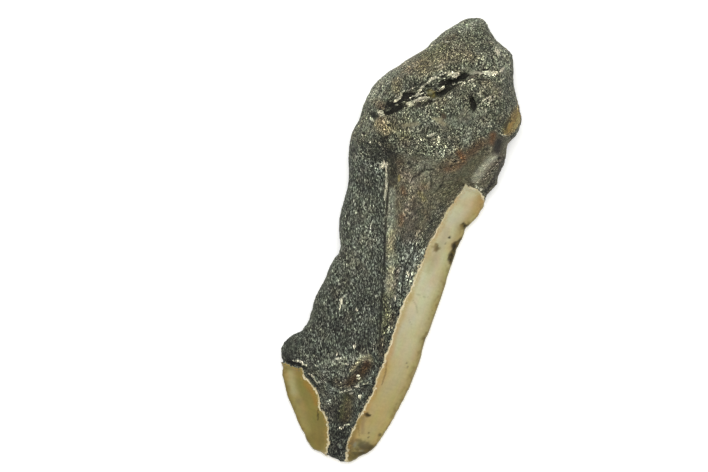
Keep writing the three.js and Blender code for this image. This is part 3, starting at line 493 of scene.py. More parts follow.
# How the dentine's grains lie: contrast, streakiness, the fibres' lean from +Y towards -X in degrees,
# half width, and the points of the middle line.
GRAINS = [
    (1.2, 0.0, 0, 4.0, [(-2, 24), (4, 25)]),
    (0.95, 0.2, 0, 4.0, [(2, 36), (12, 42)]),
    (1.25, 0.4, 15, 2.8, [(-17.4, 20), (-12, 15)]),
    (0.5, 0.2, 0, 2.4, [(1.8, 30.8), (4, 32.8), (7, 35.4), (9.4, 37.4)]),
    (1.3, 1.0, -45, 2.8, [(-14.5, 29), (-9, 34), (-2, 40.5), (3, 44.5)]),
    (1.2, 0.8, -62, 1.6, [(3, 45), (7, 46.6), (11, 48.6)]),
    (1.1, 0.8, -30, 2.4, [(8, 38), (11, 42)]),
    (0.85, 0.5, 25, 2.4, [(-5, 17), (-1.5, 13), (0.6, 6)]),
    (0.5, 0.7, -30, 2.6, [(5, 16), (9.4, 19)]),
    (0.35, 0.6, -20, 2.2, [(10.6, 19.6), (12, 27)]),
    (0.6, 0.4, 10, 1.4, [(-14.4, -11), (-13.2, -22), (-14, -30)]),
    (0.5, 0.3, 0, 3.4, [(-16, -37)]),
    (1.0, 0.9, -35, 1.7, [(6.4, 4), (8.6, 12)]),
    (1.35, 0.6, 12, 2.2, [(5.6, 2), (5.8, -10), (6, -26)]),
    (0.55, 0.5, 15, 1.4, [(-5.2, 10), (-2.4, 0), (0.6, -6), (2.8, -14)]),
    (1.1, 0.9, 62, 2.2, [(-10, -40.6), (-5, -43), (-2, -47)]),
    (1.1, 0.7, -58, 2.0, [(-2, -43.6), (2, -41.4), (6.6, -38)]),
    (0.6, 0.7, -25, 2.0, [(4, -33), (2, -39)]),
    (0.4, 0.5, 0, 1.4, [(18.2, 39.6), (17.8, 35.4)]),
    (0.3, 0.5, 0, 2.0, [(16.4, 31.4), (16.8, 29.2)]),
    (0.35, 0.5, 0, 1.5, [(14.2, 32.6), (14.8, 31)]),
    (0.42, 1.0, -24, 1.6, [(13.4, 20.6), (16.4, 27.6)]),
    (0.55, 0.6, -8, 2.0, [(2.8, -44), (3.6, -49)]),
    (1.3, 1.0, -24, 1.1, [(16, 21), (18.2, 28)]),
    (0.95, 0.7, -35, 1.5, [(6.6, 21.6), (9.4, 25)]),
]

# The fibres of the neck fan out from a point, and are as wide as elsewhere at one distance from it.
FAN = (2.0, -16.0)
FAN_RADIUS = 30

# Streakiness of the grain, 0 for round grains and 1 for long ones, and its contrast on the neck.
FACE_STREAKS = 0.8
ROOT_STREAKS = 0.2
NECK_CONTRAST = 0.62

# Uneven values over the surface: the size over which each kind changes, and a seed that sets it apart.
WANDERS = {
    "edges": (0.9, 0),
    "patches": (4.0, 20),
    "breaks": (0.6, 60),
    "enamel edges": (1.7, 5),
    "chalk": (2.0, 40),
    "contrast": (3.0, 80),
}

# How much the width of a soft stretch and of a mark wanders, between which shares of that width they fade
# out, how wide a mark's ends are and how much wider its middle is, as shares of its width too.
STRETCH_WANDER = 0.4
STRETCH_FADE = (0, 1.2)
MARK_WANDER = 0.6
MARK_DRIFT = 0.3
MARK_FADE = (0.4, 1.2)
MARK_ENDS = 0.55
MARK_MIDDLE = 0.45

# How unevenly the enamel's edge runs, at large and in small.
RAGGED_EDGE = 0.35
FINE_RAGGED_EDGE = 0.25

# The share of its paint that a raised mark keeps where it is broken up, and the rest of it.
PAINT_LEFT = 0.7
PAINT_LOST = 0.3

# Bumps: their vertex group, the setting for their height, their width and length, how often they break
# up into finer ones, and whether they lean as the fibres do.
BUMPS = [
    ("enamel", "waves", 5.0, 5.0, 0, False),
    ("root", "lumps", 3.5, 3.5, 1, False),
    ("fibrous dentine", "fibres", 0.7, 3.0, 2, True),
    ("dentine", "grit", 0.7, 1.0, 2, True),
]

# The range that nearly all of a noise's values lie in, and their middle.
NOISE_RANGE = (0.3, 0.7)
NOISE_MIDDLE = 0.5

# The finish's grains: how many there are to a millimetre, how many times as long as wide they are, and how
# often they break up into finer ones.
GRAIN_SIZES = {
    "enamel edge": (1.6, 1.0, 3),
    "round": (4.6, 1.0, 2),
    "long": (5.0, 4.5, 2),
    "clumps": (0.5, 2.0, 2),
    "grit": (4.8, 2.4, 0),
    "creases": (1.5, 2.0, 2),
    "flecks": (2.2, 2.0, 2),
    "tints": (0.5, 1.0, 1),
    "clouding": (0.35, 2.0, 4),
    "growth lines": (0.25, 0.2, 3),
    "freckles": (2.2, 1.0, 2),
}

# The finish's ramps: the range that a value lies in, and the range that it is moved to.
RAMPS = {
    "grit by streaks": (0.6, 1.0, 0.36, 0.2),
    "creases by contrast": (0.2, 1.1, 1.0, 0.25),
    "tearing": (0.35, 0.65, 0.35, 1.6),
    "torn paint": (0.24, 0.62, 0.0, 0.92),
    "flecks": (0.67, 0.73, 0.0, 1.0),
    "flecks by contrast": (0.6, 1.2, 0.0, 0.2),
    "growth lines": (*NOISE_RANGE, 0.965, 1.03),
    "fine clouding": (*NOISE_RANGE, 0.96, 1.04),
    "freckles": (0.45, 0.6, 0.0, 1.0),
    "freckles by depth": (0.3, 1.8, 0.45, 0.0),
    "raggedness": (*NOISE_RANGE, -0.2, 0.2),
    "enamel": (-0.08, 0.08, 0.0, 1.0),
    "chalk": (-0.15, 0.15, 0.85, 0.0),
}

# The dentine's tints and the enamel's clouding multiply red, green and blue by a noise's colour times the
# first three numbers, plus the last three.
TINTS = ((0.2, 0.15, 0.24), (0.9, 0.925, 0.88))
CLOUDING = ((0.3, 0.26, 0.42), (0.85, 0.87, 0.79))

# Height of the surface's normal: the range over which it comes to face up, and the height below which the
# surface has the flat side's enamel.
FACES_UP = (-0.35, -0.1)
FLAT_SIDE = -0.3

# How unevenly the borders of the root and of the neck run, and how far they fade. The root's border is
# lost underneath and towards the left, between two places on X, where it fades further. The neck fades
# along the ridge, and between two places on Y near the tip.
UNEVEN_BORDER = 0.8
ROOT_FADE = 0.8
LOST_FADE = 3.2
LOST_LEFT = (-16, -8)
RIDGE_FADE = 0.6
NECK_END = (-1.5, 2.5)

# Where the enamel changes into dentine, how far inside its edge it is polished, and how high the fibres
# are on the root, as a share of their height elsewhere.
ENAMEL_EDGE = (-0.3, 0.3)
POLISHED = (0.8, 1.8)
ROOT_FIBRES = 0.3

# Corners of the solid's loose triangles that lie closer than this are joined.
TOUCHING = 0.002

# How far from the tooth's outline the enamel's raised edge starts and is whole, and how far in from the
# outline the cutting edge is keen. The corner patch is keen on its left too, below a height on Y.
LEDGE_START = (1, 3)
KEEN_WIDTH = 1.6
KEEN_CORNER = (-44, -42)
CORNER_KEENNESS = 1.2

# Where the enamel's tone turns from honey into cream along Y, where the corner patch's tone turns into
# the strip's along X, by how much that place leans, and how wide the band of painted shade is, in straw,
# along the cutting edge, where the strip curves down; it leaves the middle paler, as a painted sheen.
HONEY_TO_CREAM = (-48, -10)
CORNER_TO_STRIP = (-12, -8)
CORNER_LEAN = 0.2
SHADED_RIM_WIDTH = 4.5

# Width of the enamel's chalky, broken edge, how much wider it grows towards the tip and between which
# places on Y, how much narrower on the corner patch and between which on X, and how unevenly it runs.
CHALK_WIDTH = 0.2
TIP_CHALK = 0.24
TIP_CHALK_FROM = (-14, -6)
CORNER_CHALK = -0.35
CORNER_CHALK_FROM = (-12, -10)
UNEVEN_CHALK = 0.42

# How rough the dentine and the enamel are, how much of the grain's relief the enamel shows, and how deep
# that relief is.
DENTINE_ROUGHNESS = 0.8
ENAMEL_ROUGHNESS = 0.32
ENAMEL_RELIEF = 0.03
RELIEF_DEPTH = 0.4

# The stage: the floor's size and how far below the tooth it lies, and for each soft light the way from
# the view's middle towards its top and up, and the light's size, all in metres.
FLOOR_SIZE = 6
FLOOR_GAP = 0.02 * MM
KEY_LIGHT = (0.3, 1.2, 0.8)
FILL_LIGHT = (-0.9, 1.1, 1.0)

# ---------------------------------------------------------------- settings


def paint(name, description, red, green, blue):
    """A colour setting, given as a screen's red, green and blue, 0 to 255."""
    linear = [((part / 255 + 0.055) / 1.055) ** 2.4 for part in (red, green, blue)]
    return FloatVectorProperty(
        name=name, description=description, default=linear, min=0, max=1, subtype="COLOR"
    )


def length(name, description, millimetres):
    """A length setting, given in millimetres and kept in metres."""
    return FloatProperty(
        name=name, description=description, default=millimetres * MM, precision=6, unit="LENGTH"
    )


class ToothShape(PropertyGroup):
    """Sizes of the tooth's fine surface."""

    spacing: length("Spacing", "Width of the fine surface's faces", 0.37)
    ledge: length("Ledge", "Height of the enamel's broken edge", 0.9)
    slope: length("Slope", "Half width of the broken edge's slope", 0.3)
    keen: length("Keenness", "How far the cutting edge stands out past its rounded form", 0.4)
    waves: length("Waves", "Height of the enamel's gentle waves", 0.1)
    lumps: length("Lumps", "Height of the root's lumps", 0.6)
    fibres: length("Fibres", "Height of the dentine's fibres", 0.4)
    grit: length("Grit", "Height of the grit on the bare dentine", 0.3)
    lean: FloatProperty(
        name="Lean", description="Lean of the fibres from +Y", default=radians(20), subtype="ANGLE"
    )
    polish: IntProperty(name="Polish", description="Rounds of smoothing on the enamel", default=24)
    wear: IntProperty(name="Wear", description="Rounds of smoothing all over", default=4)


class ToothPaint(PropertyGroup):
    """Colours of the dentine, the root and the enamel."""

    root: paint("Root", "Greenish grey root", 71, 73, 60)
    face: paint("Broken face", "Dark grey of the broken dentine", 64, 67, 58)
    neck: paint("Neck", "Brownish grey of the neck, below the root", 95, 92, 74)
    tan: paint("Tan", "Pale brown weathering", 111, 99, 73)
    brown: paint("Brown", "Brown stain", 73, 61, 45)
    rust: paint("Rust", "Red-brown stain", 104, 72, 42)
    olive: paint("Olive", "Olive dentine", 73, 73, 45)
    rose: paint("Rose", "Pinkish grey dentine", 84, 77, 66)
    gold: paint("Gold", "Golden brown of worn dentine", 122, 103, 58)
    sage: paint("Sage", "Pale greenish grey band", 128, 131, 112)
    sand: paint("Sand", "Sandy band beside the ridge", 150, 143, 110)
    frost: paint("Frost", "Pale mineral", 166, 171, 156)
    umber: paint("Umber", "Dark brown scars", 52, 42, 27)
    # Silver paints the pale sheen on the worn stretch right of the neck, and pale fibres at the crevice's
    # upper end.
    silver: paint("Silver", "Pale, worn sheen of the neck", 160, 158, 137)
    slate: paint("Slate", "Dark, smooth grey", 52, 50, 45)
    # Void is painted near black: painted shade in the hollows, cracks and crevices, painted shadow below
    # the knob, along the ridge and along the enamel's edges, and dark patches on the broken face.
    void: paint("Void", "Blackened hollows", 15, 14, 11)
    bone: paint("Bone", "Bright fibres and flakes", 203, 199, 171)
    cream: paint("Enamel", "Cream of the enamel", 187, 184, 149)
    honey: paint("Enamel tip", "Deeper tone of the enamel near the tip", 168, 151, 99)
    moss: paint("Enamel corner", "Olive tone of the corner patch", 124, 113, 58)
    bark: paint("Cutting edge", "Brown line along the cutting edge", 112, 96, 50)
    ochre: paint("Ochre", "Golden brown stain in the enamel", 140, 104, 42)
    # Straw also paints the shade along the enamel's cutting edge, which leaves the cream middle paler, as a
    # painted sheen.
    straw: paint("Enamel rim", "Tone of the thin enamel along the cutting edge", 160, 146, 92)
    amber: paint("Amber", "Orange stain in the enamel", 170, 134, 70)
    stain: paint("Stain", "Dark stain in the enamel", 38, 32, 12)
    chalk: paint("Broken enamel", "Chalky broken edge of the enamel", 216, 204, 167)


class StageSettings(PropertyGroup):
    """The floor, the lights and the camera."""

    floor: paint("Floor", "Colour of the floor", 246, 246, 244)
    view_width: length("View width", "Width of the view where the tooth lies", 184.08)
    view_x: length("View X", "X that the camera looks at", -10.585)
    view_y: length("View Y", "Y that the camera looks at", -4.146)
    view_z: length("View Z", "Height that the camera looks at", 6)
    view_turn: FloatProperty(
        name="Turn", description="Turn of the camera about its line of sight",
        default=radians(20), subtype="ANGLE",
    )
    lens: FloatProperty(name="Lens", description="Focal length in millimetres", default=400)
    key: FloatProperty(name="Key light", description="Power of the key light in watts", default=13)
    fill: FloatProperty(name="Fill light", description="Power of the fill light in watts", default=1.5)
    glow: FloatProperty(name="Glow", description="Strength of the floor's own light", default=0.3)
    sky: FloatProperty(name="Sky", description="Strength of the light from all round", default=0.4)


# ---------------------------------------------------------------- places and marks


def ease(value, low, high):
    """0 up to low, 1 from high on, and smooth between them."""
    share = np.clip((value - low) / (high - low), 0, 1)
    return share * share * (3 - 2 * share)


def spans(points):
    """The straight pieces of a line of points."""
    points = np.array(points, float)
    return list(zip(points[:-1], points[1:]))


def nearest(x, y, start, end):
    """The share of a span at which it is nearest to each place, and the way from there to the place."""
    step = end - start
    share = np.clip(((x - start[0]) * step[0] + (y - start[1]) * step[1]) / (step @ step), 0, 1)
    return share, x - start[0] - share * step[0], y - start[1] - share * step[1]


def reach(x, y, points):
    """How far each place is from a line of points, and how far along the line that is, 0 to 1."""
    if len(points) == 1:
        return np.hypot(x - points[0][0], y - points[0][1]), np.full_like(x, 0.5)
    best = np.full_like(x, np.inf)
    along = np.zeros_like(x)
    pieces = spans(points)
    for i, (start, end) in enumerate(pieces):
        share, away_x, away_y = nearest(x, y, start, end)
        distance = np.hypot(away_x, away_y)
        along = np.where(distance < best, (i + share) / len(pieces), along)
        best = np.minimum(best, distance)
    return best, along


def beside(x, y, points):
    """Distance from a line of points, above 0 on its right and below 0 on its left."""
    best = np.full_like(x, np.inf)
    for start, end in spans(points):
        _, away_x, away_y = nearest(x, y, start, end)
        on_right = (end[0] - start[0]) * away_y < (end[1] - start[1]) * away_x
        distance = np.hypot(away_x, away_y) * np.where(on_right, 1, -1)
        best = np.where(np.abs(distance) < np.abs(best), distance, best)
    return best


def within(x, y, outline):
    """Distance inside a closed outline, below 0 outside it."""
    closed = outline + outline[:1]
    distance, _ = reach(x, y, closed)
    inside = np.zeros(x.shape, bool)
    for start, end in spans(closed):
        level = (start[1] > y) != (end[1] > y)
        rise = end[1] - start[1] or 1
        inside ^= level & (x < start[0] + (y - start[1]) * (end[0] - start[0]) / rise)
    return np.where(inside, distance, -distance)


def dentine_marks():
    """The half width, height and points of every mark on the dentine."""
    plain = [mark[2:] for mark in PLAIN_MARKS]
    torn = [mark[1:] for marks in TORN_MARKS.values() for mark in marks]
    return plain + torn


class Surface:
    """The points of the tooth's mesh in millimetres, and what they lie on.

    upper is 1 where the surface faces up, uneven and patchy wander over it, and whole says how much paint
    a raised mark keeps. enamel is the distance inside the enamel, and root and neck are shares.
    """

    def __init__(self, tooth):
        self.tooth = tooth
        mesh = tooth.data
        place = np.empty(len(mesh.vertices) * 3, np.float32)
        mesh.vertices.foreach_get("co", place)
        self.place = place.reshape(-1, 3).astype(float) / MM
        normal = np.empty(len(mesh.vertices) * 3, np.float32)
        mesh.vertex_normals.foreach_get("vector", normal)
        self.normal = normal.reshape(-1, 3).astype(float)
        self.x, self.y, self.z = self.place.T
        self.upper = ease(self.normal[:, 2], *FACES_UP)
        self.uneven = self.wander("edges")
        self.patchy = self.wander("patches")
        self.whole = PAINT_LEFT + PAINT_LOST * ease(self.wander("breaks"), -0.3, 0.1)
        self.enamel = self.enamel_left()
        self.root = self.root_share()
        self.neck = self.neck_share()

    def wander(self, kind):
        """Uneven values between about -1 and 1."""
        size, seed = WANDERS[kind]
        aside = Vector((seed, 0, 0))
        return np.array([noise.noise(Vector(place / size) + aside) for place in self.place])

    def enamel_left(self):
        """Distance inside the enamel that is left, below 0 on bare dentine, with ragged edges."""
        lingual, labial = (
            np.max([within(self.x, self.y, outline) for outline in outlines], axis=0)
            for outlines in (LINGUAL_ENAMEL, LABIAL_ENAMEL)
        )
        distance = np.where(self.normal[:, 2] > FLAT_SIDE, lingual, labial)
        return distance + RAGGED_EDGE * self.wander("enamel edges") + FINE_RAGGED_EDGE * self.uneven

    def root_share(self):
        """1 on the root and 0 below its ledge, where a border of its own width lies between them."""
        past_ledge = -beside(self.x, self.y, ROOT_LEDGE) + UNEVEN_BORDER * self.uneven
        lost = LOST_FADE * np.maximum(1 - ease(self.x, *LOST_LEFT), 1 - self.upper)
        return ease((past_ledge + lost * self.patchy) / (ROOT_FADE + lost), -1, 1)

    def neck_share(self):
        """1 on the neck, which lies between the ridge, the root and the broken face near the tip."""
        uneven = UNEVEN_BORDER * self.patchy
        past_ridge = ease(beside(self.x, self.y, RIDGE) + uneven, -RIDGE_FADE, RIDGE_FADE)
        past_end = ease(self.y + uneven, *NECK_END)
        return past_ridge * (1 - self.root) * past_end * self.upper

    def from_rim(self, side):
        """Distance from the tooth's outline, on the +X side or on the -X side."""
        row_height = 0.5
        row = np.round((self.y - self.y.min()) / row_height).astype(int)
        widest = np.full(row.max() + 1, -np.inf)
        np.maximum.at(widest, row, side * self.x)
        middle = self.y.min() + row_height * np.arange(len(widest))
        return np.interp(self.y, middle, widest) - side * self.x

    def stretch(self, half, points):
        """1 along the middle of a soft stretch, fading out to both sides."""
        distance, _ = reach(self.x, self.y, points)
        width = half * (1 + STRETCH_WANDER * self.patchy)
        return (1 - ease(distance / width, *STRETCH_FADE)) * self.upper

    def mark(self, half, points, soft=0.0):
        """1 along the middle of a mark and 0 off it, with thin ends and uneven, more or less soft edges."""
        distance, along = reach(self.x, self.y, points)
        narrowing = MARK_ENDS + MARK_MIDDLE * np.sin(pi * along)
        unevenness = 1 + MARK_WANDER * self.uneven + MARK_DRIFT * self.patchy
        width = half * narrowing * unevenness
        full, gone = MARK_FADE
        return (1 - ease(distance, full * width - soft, gone * width + soft)) * self.upper

    def group(self, name, weights):
        """Keep weights, in steps, as a vertex group for a modifier."""
        group = self.tooth.vertex_groups.new(name=name)
        count = 10
        steps = np.round(np.clip(weights, 0, 1) * count).astype(int)
        for step in range(1, count + 1):
            group.add(np.nonzero(steps == step)[0].tolist(), step / count, "REPLACE")

    def keep(self, name, values):
        """Keep a number, or a colour or place, for each point, for the finish to read."""
        kind, part = ("FLOAT_VECTOR", "vector") if values.ndim == 2 else ("FLOAT", "value")
        attribute = self.tooth.data.attributes.new(name, kind, "POINT")
        attribute.data.foreach_set(part, values.astype(np.float32).ravel())


# ---------------------------------------------------------------- the tooth


def only(thing):
    """Select one object and nothing else."""
    bpy.ops.object.select_all(action="DESELECT")
    thing.select_set(True)
    bpy.context.view_layer.objects.active = thing


def shape_with(thing, kind, **settings):
    """Add a modifier to an object and apply it."""
    only(thing)
    bpy.ops.object.modifier_add(type=kind)
    modifier = thing.modifiers[-1]
    for name, value in settings.items():
        setattr(modifier, name, value)
    bpy.ops.object.modifier_apply(modifier=modifier.name)


def roughen(tooth, group, height, across, along, detail, lean):
    """Raise and sink the surface unevenly, with bumps of one width in millimetres and one length."""
    bpy.ops.object.empty_add(rotation=(0, 0, lean))
    grid = bpy.context.object
    grid.scale = (across * MM, along * MM, across * MM)
    bpy.context.view_layer.update()
    clouds = bpy.data.textures.new(group, "CLOUDS")
    clouds.noise_scale = 1.0
    clouds.noise_depth = detail
    shape_with(
        tooth, "DISPLACE", texture=clouds, texture_coords="OBJECT", texture_coords_object=grid,
        strength=height, mid_level=0.5, vertex_group=group,
    )
    bpy.data.objects.remove(grid)


def solid_copy(node, name):
    """A new piece with a node's mesh, its loose triangles joined."""
    mesh = node.data.copy()
    mesh.materials.clear()
    piece = bpy.data.objects.new(name, mesh)
    bpy.context.scene.collection.objects.link(piece)
    only(piece)
    bpy.ops.object.mode_set(mode="EDIT")
    bpy.ops.mesh.select_all(action="SELECT")
    bpy.ops.mesh.remove_doubles(threshold=TOUCHING * MM)
    bpy.ops.object.mode_set(mode="OBJECT")
    return piece


def carve(tooth, ledge, slope, keen):
    """Sharpen the enamel's edges, and raise and sink the marks, with sizes in millimetres."""
    surface = Surface(tooth)
    left = ease(surface.enamel, -slope, slope)
    gentle = 3 * slope
    worn = ease(surface.enamel, -gentle, gentle)
    heights = ledge * (left - worn) * ease(surface.from_rim(1), *LEDGE_START)
    for half, height, points in dentine_marks():
        if height:
            heights += height * surface.mark(half, points) * (1 - left)
    for height, half, points in SWELLS:
        distance, _ = reach(surface.x, surface.y, points)
        heights += height * (1 - ease(distance, 0, half))
    surface.place += surface.normal * heights[:, None]
    surface.place[:, 0] += keen * left * (1 - ease(surface.from_rim(1), 0, KEEN_WIDTH))
    lower_left = (1 - ease(surface.from_rim(-1), 0, KEEN_WIDTH)) * (1 - ease(surface.y, *KEEN_CORNER))
    surface.place[:, 0] -= CORNER_KEENNESS * keen * left * lower_left
    surface.place[:, 2] = np.maximum(surface.place[:, 2], 0)
    tooth.data.vertices.foreach_set("co", (surface.place * MM).astype(np.float32).ravel())
    tooth.data.update()


class FOSSIL_OT_tooth(Operator):
    """Model the tooth: the solid's form with a fine surface of ledges, fibres, pits and crevices"""

    bl_idname = "fossil.tooth"
    bl_label = "Tooth"

    def execute(self, context):
        shape = context.scene.fossil_shape
        tooth = solid_copy(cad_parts["tooth"], TOOTH)
        shape_with(tooth, "REMESH", mode="VOXEL", voxel_size=shape.spacing)

        surface = Surface(tooth)
        bare = 1 - ease(surface.enamel, *ENAMEL_EDGE)
        surface.group("inner enamel", ease(surface.enamel, *POLISHED))
        surface.group("enamel", 1 - bare)
        surface.group("root", bare * surface.root)
        surface.group("fibrous dentine", bare * (1 - (1 - ROOT_FIBRES) * surface.root))
        surface.group("dentine", bare)
        shape_with(tooth, "SMOOTH", iterations=shape.polish, vertex_group="inner enamel")
        shape_with(tooth, "SMOOTH", iterations=shape.wear)
        for group, height, across, along, detail, leans in BUMPS:
            lean = shape.lean if leans else 0
            roughen(tooth, group, getattr(shape, height), across, along, detail, lean)
        tooth.vertex_groups.clear()
        carve(tooth, shape.ledge / MM, shape.slope / MM, shape.keen / MM)

        only(tooth)
        bpy.ops.object.shade_smooth()
        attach(tooth, "root")
        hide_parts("tooth")
        return {"FINISHED"}


# ---------------------------------------------------------------- the colours and the grain


def blend(base, colour, weight):
    """Colours with one colour laid over them."""
    weight = np.asarray(weight)[:, None]
    return base * (1 - weight) + np.array(colour) * weight


def paint_stretches(surface, base, stretches, paints):
    """Colours with a table of soft stretches laid over them."""
    for name, strength, half, points in stretches:
        base = blend(base, getattr(paints, name), strength * surface.stretch(half, points))
    return base


def torn_share(surface, marks):
    """How strongly a table of torn marks lies over each point."""
    softness = 0.2
    weights = [strength * surface.mark(half, points, softness) for strength, half, _, points in marks]
    return np.max(weights, axis=0)


def paint_dentine(surface, paints):
    """The colour of the dentine and the root at each point, without the torn marks."""
    base = np.tile(np.array(paints.face), (len(surface.x), 1))
    base = blend(base, paints.neck, surface.neck)
    base = blend(base, paints.root, surface.root)
    weathering = 0.2
    base = blend(base, paints.tan, weathering * ease(surface.patchy, 0, 0.6) * surface.root)
    base = blend(base, paints.brown, weathering * ease(-surface.patchy, 0, 0.6))
    base = paint_stretches(surface, base, DENTINE_STRETCHES, paints)
    for name, strength, half, height, points in PLAIN_MARKS:
        whole = surface.whole if height > 0 else 1
        base = blend(base, getattr(paints, name), strength * surface.mark(half, points) * whole)
    return base


def paint_enamel(surface, paints):
    """The colour of the enamel at each point, with painted shade along its cutting edge."""
    right_rim = surface.from_rim(1)
    rim_shade_share = 0.8
    amber_share = 0.2
    patches_share = 0.6
    line_share = 0.5
    uneven_rim = 0.15 * surface.uneven
    rim = np.minimum(right_rim, surface.from_rim(-1)) + uneven_rim
    base = np.tile(np.array(paints.cream), (len(surface.y), 1))
    base = blend(base, paints.honey, 1 - ease(surface.y, *HONEY_TO_CREAM))
    # Painted shade: straw darkens the enamel towards the cutting edge, where the strip curves down, and so
    # leaves its middle paler, as a painted sheen.
    base = blend(base, paints.straw, rim_shade_share * (1 - ease(right_rim, 0, SHADED_RIM_WIDTH)))
    base = blend(base, paints.moss, 1 - ease(surface.x + CORNER_LEAN * surface.y, *CORNER_TO_STRIP))
    base = blend(base, paints.amber, amber_share * ease(surface.patchy, 0, 0.7))
    base = paint_stretches(surface, base, ENAMEL_STRETCHES, paints)
    for name, strength, half, points in ENAMEL_MARKS:
        base = blend(base, getattr(paints, name), strength * surface.mark(half, points))
    patches_at_rim = ease(surface.uneven, 0, 0.4) * (1 - ease(rim, 0.4, 2.2))
    line_at_rim = 1 - ease(rim, 0.15, 0.6)
    base = blend(base, paints.bark, patches_share * patches_at_rim)
    return blend(base, paints.bark, line_share * line_at_rim)


def chalk_width(surface):
    """How wide the chalky, broken edge of the enamel is, in millimetres."""
    near_tip = 1 - ease(surface.y, *TIP_CHALK_FROM)
    on_corner = 1 - ease(surface.x, *CORNER_CHALK_FROM)
    even = CHALK_WIDTH + TIP_CHALK * near_tip + CORNER_CHALK * on_corner
    return even + UNEVEN_CHALK * surface.wander("chalk")


def grain_of(surface, lean):
    """How strong and how streaky the dentine's grain is, and where each point lies in its fibres."""
    x, y = surface.x, surface.y
    contrast = 1 - (1 - NECK_CONTRAST) * surface.neck
    streaks = FACE_STREAKS + (ROOT_STREAKS - FACE_STREAKS) * surface.root
    fan_x, fan_y = x - FAN[0], y - FAN[1]
    mostly_neck = 0.5
    mostly_stretch = 0.4
    fanned = surface.neck > mostly_neck
    across = np.where(fanned, FAN_RADIUS * np.arctan2(fan_x, fan_y), x * cos(lean) + y * sin(lean))
    along = np.where(fanned, np.hypot(fan_x, fan_y), y * cos(lean) - x * sin(lean))
    for strong, streaky, degrees, half, points in GRAINS:
        weight = surface.stretch(half, points)
        contrast += weight * (strong - contrast)
        streaks += weight * (streaky - streaks)
        turn = radians(degrees)
        here = weight > mostly_stretch
        across = np.where(here, x * cos(turn) + y * sin(turn), across)
        along = np.where(here, y * cos(turn) - x * sin(turn), along)
    contrast *= 1 + 0.3 * surface.wander("contrast")
    for half, height, points in dentine_marks():
        evened = 0.5 if height < 0 else 0.75
        contrast *= 1 - evened * surface.mark(half, points)
    return contrast, streaks, np.column_stack([across, along, surface.z])


# ---------------------------------------------------------------- the finish


class Nodes:
    """A short way to add a material's nodes and to link them."""

    def __init__(self, name):
        self.material = bpy.data.materials.new(name)
        self.material.use_nodes = True
        self.tree = self.material.node_tree
        self.tree.nodes.clear()

    def fill(self, socket, value):
        """Set an input to a number or a colour, or link it to another node's output."""
        if isinstance(value, bpy.types.NodeSocket):
            self.tree.links.new(value, socket)
        else:
            socket.default_value = value

    def add(self, kind, inputs=(), **settings):
        """A node with its settings and inputs."""
        node = self.tree.nodes.new("ShaderNode" + kind)
        for name, value in settings.items():
            setattr(node, name, value)
        for key, value in dict(inputs).items():
            self.fill(node.inputs[key], value)
        return node

    def attribute(self, name, output="Fac"):
        """A value or colour that is kept on the mesh."""
        return self.add("Attribute", attribute_name=name).outputs[output]

    def math(self, operation, *values):
        """A sum, a product or another plain operation on numbers."""
        return self.add("Math", dict(enumerate(values)), operation=operation).outputs[0]

    def ramp(self, value, low, high, to_low, to_high):
        """A value moved smoothly from one range to another, and held at its ends."""
        inputs = {0: value, 1: low, 2: high, 3: to_low, 4: to_high}
        return self.add("MapRange", inputs, interpolation_type="SMOOTHSTEP").outputs[0]

    def vector(self, operation, *values):
        """A sum, a product or another plain operation on colours or places."""
        return self.add("VectorMath", dict(enumerate(values)), operation=operation).outputs[0]

    def times(self, vector, number):
        """A colour or place times a number."""
        return self.add("VectorMath", {0: vector, "Scale": number}, operation="SCALE").outputs[0]

    def mix(self, share, first, second, kind="RGBA"):
        """A value between two colours or two numbers."""
        node = self.add("Mix", data_type=kind)
        sockets = [socket for socket in node.inputs if socket.enabled]
        for socket, value in zip(sockets, (share, first, second)):
            self.fill(socket, value)
        return next(socket for socket in node.outputs if socket.enabled)

    def texture(self, texture, place, kind):
        """A texture with one kind of grain, which may be longer along Y."""
        per_mm, stretch, detail = GRAIN_SIZES[kind]
        per_metre = per_mm / MM
        scale = (per_metre, per_metre / stretch, per_metre)
        sized = self.add("Mapping", {"Vector": place, "Scale": scale}).outputs[0]
        return self.add(texture, {"Vector": sized, "Scale": 1.0, "Detail": detail})

    def grains(self, place, kind, output="Fac"):
        """Soft, uneven grains, as a value or as a colour."""
        return self.texture("TexNoise", place, kind).outputs[output]

    def cells(self, place, kind):
        """Crisp grains that each have a value of their own, 0 to 1."""
        grains = self.texture("TexVoronoi", place, kind)
        return self.add("SeparateColor", {0: grains.outputs["Color"]}).outputs[0]


def grain_relief(nodes, place, fibres, long_grain):
    """The dentine's grain, above and below 0: round or long grains in clumps, and crisp grit."""
    clump_share = 0.1
    usual_grain = 0.55
    streaks = nodes.attribute("streaks")
    grit_share = nodes.ramp(streaks, *RAMPS["grit by streaks"])
    grit = nodes.math("SUBTRACT", nodes.cells(fibres, "grit"), NOISE_MIDDLE)
    grain = nodes.mix(streaks, nodes.grains(place, "round"), long_grain, "FLOAT")
    grain = nodes.math("MULTIPLY_ADD", nodes.grains(fibres, "clumps"), clump_share, grain)
    grain = nodes.math("MULTIPLY_ADD", grit, grit_share, grain)
    return nodes.math("SUBTRACT", grain, usual_grain)


def grain_light(nodes, fibres, relief, contrast):
    """How much lighter or darker than its surroundings each grain is, with dark creases between."""
    speckle_strength = 9.6
    crease_width = 0.05
    strength = nodes.math("MULTIPLY", contrast, speckle_strength)
    speckle = nodes.math("EXPONENT", nodes.math("MULTIPLY", relief, strength))
    across_crease = nodes.math("SUBTRACT", nodes.grains(fibres, "creases"), NOISE_MIDDLE)
    from_crease = nodes.math("ABSOLUTE", across_crease)
    crease_light = nodes.ramp(contrast, *RAMPS["creases by contrast"])
    return nodes.math("MULTIPLY", speckle, nodes.ramp(from_crease, 0.0, crease_width, crease_light, 1.0))


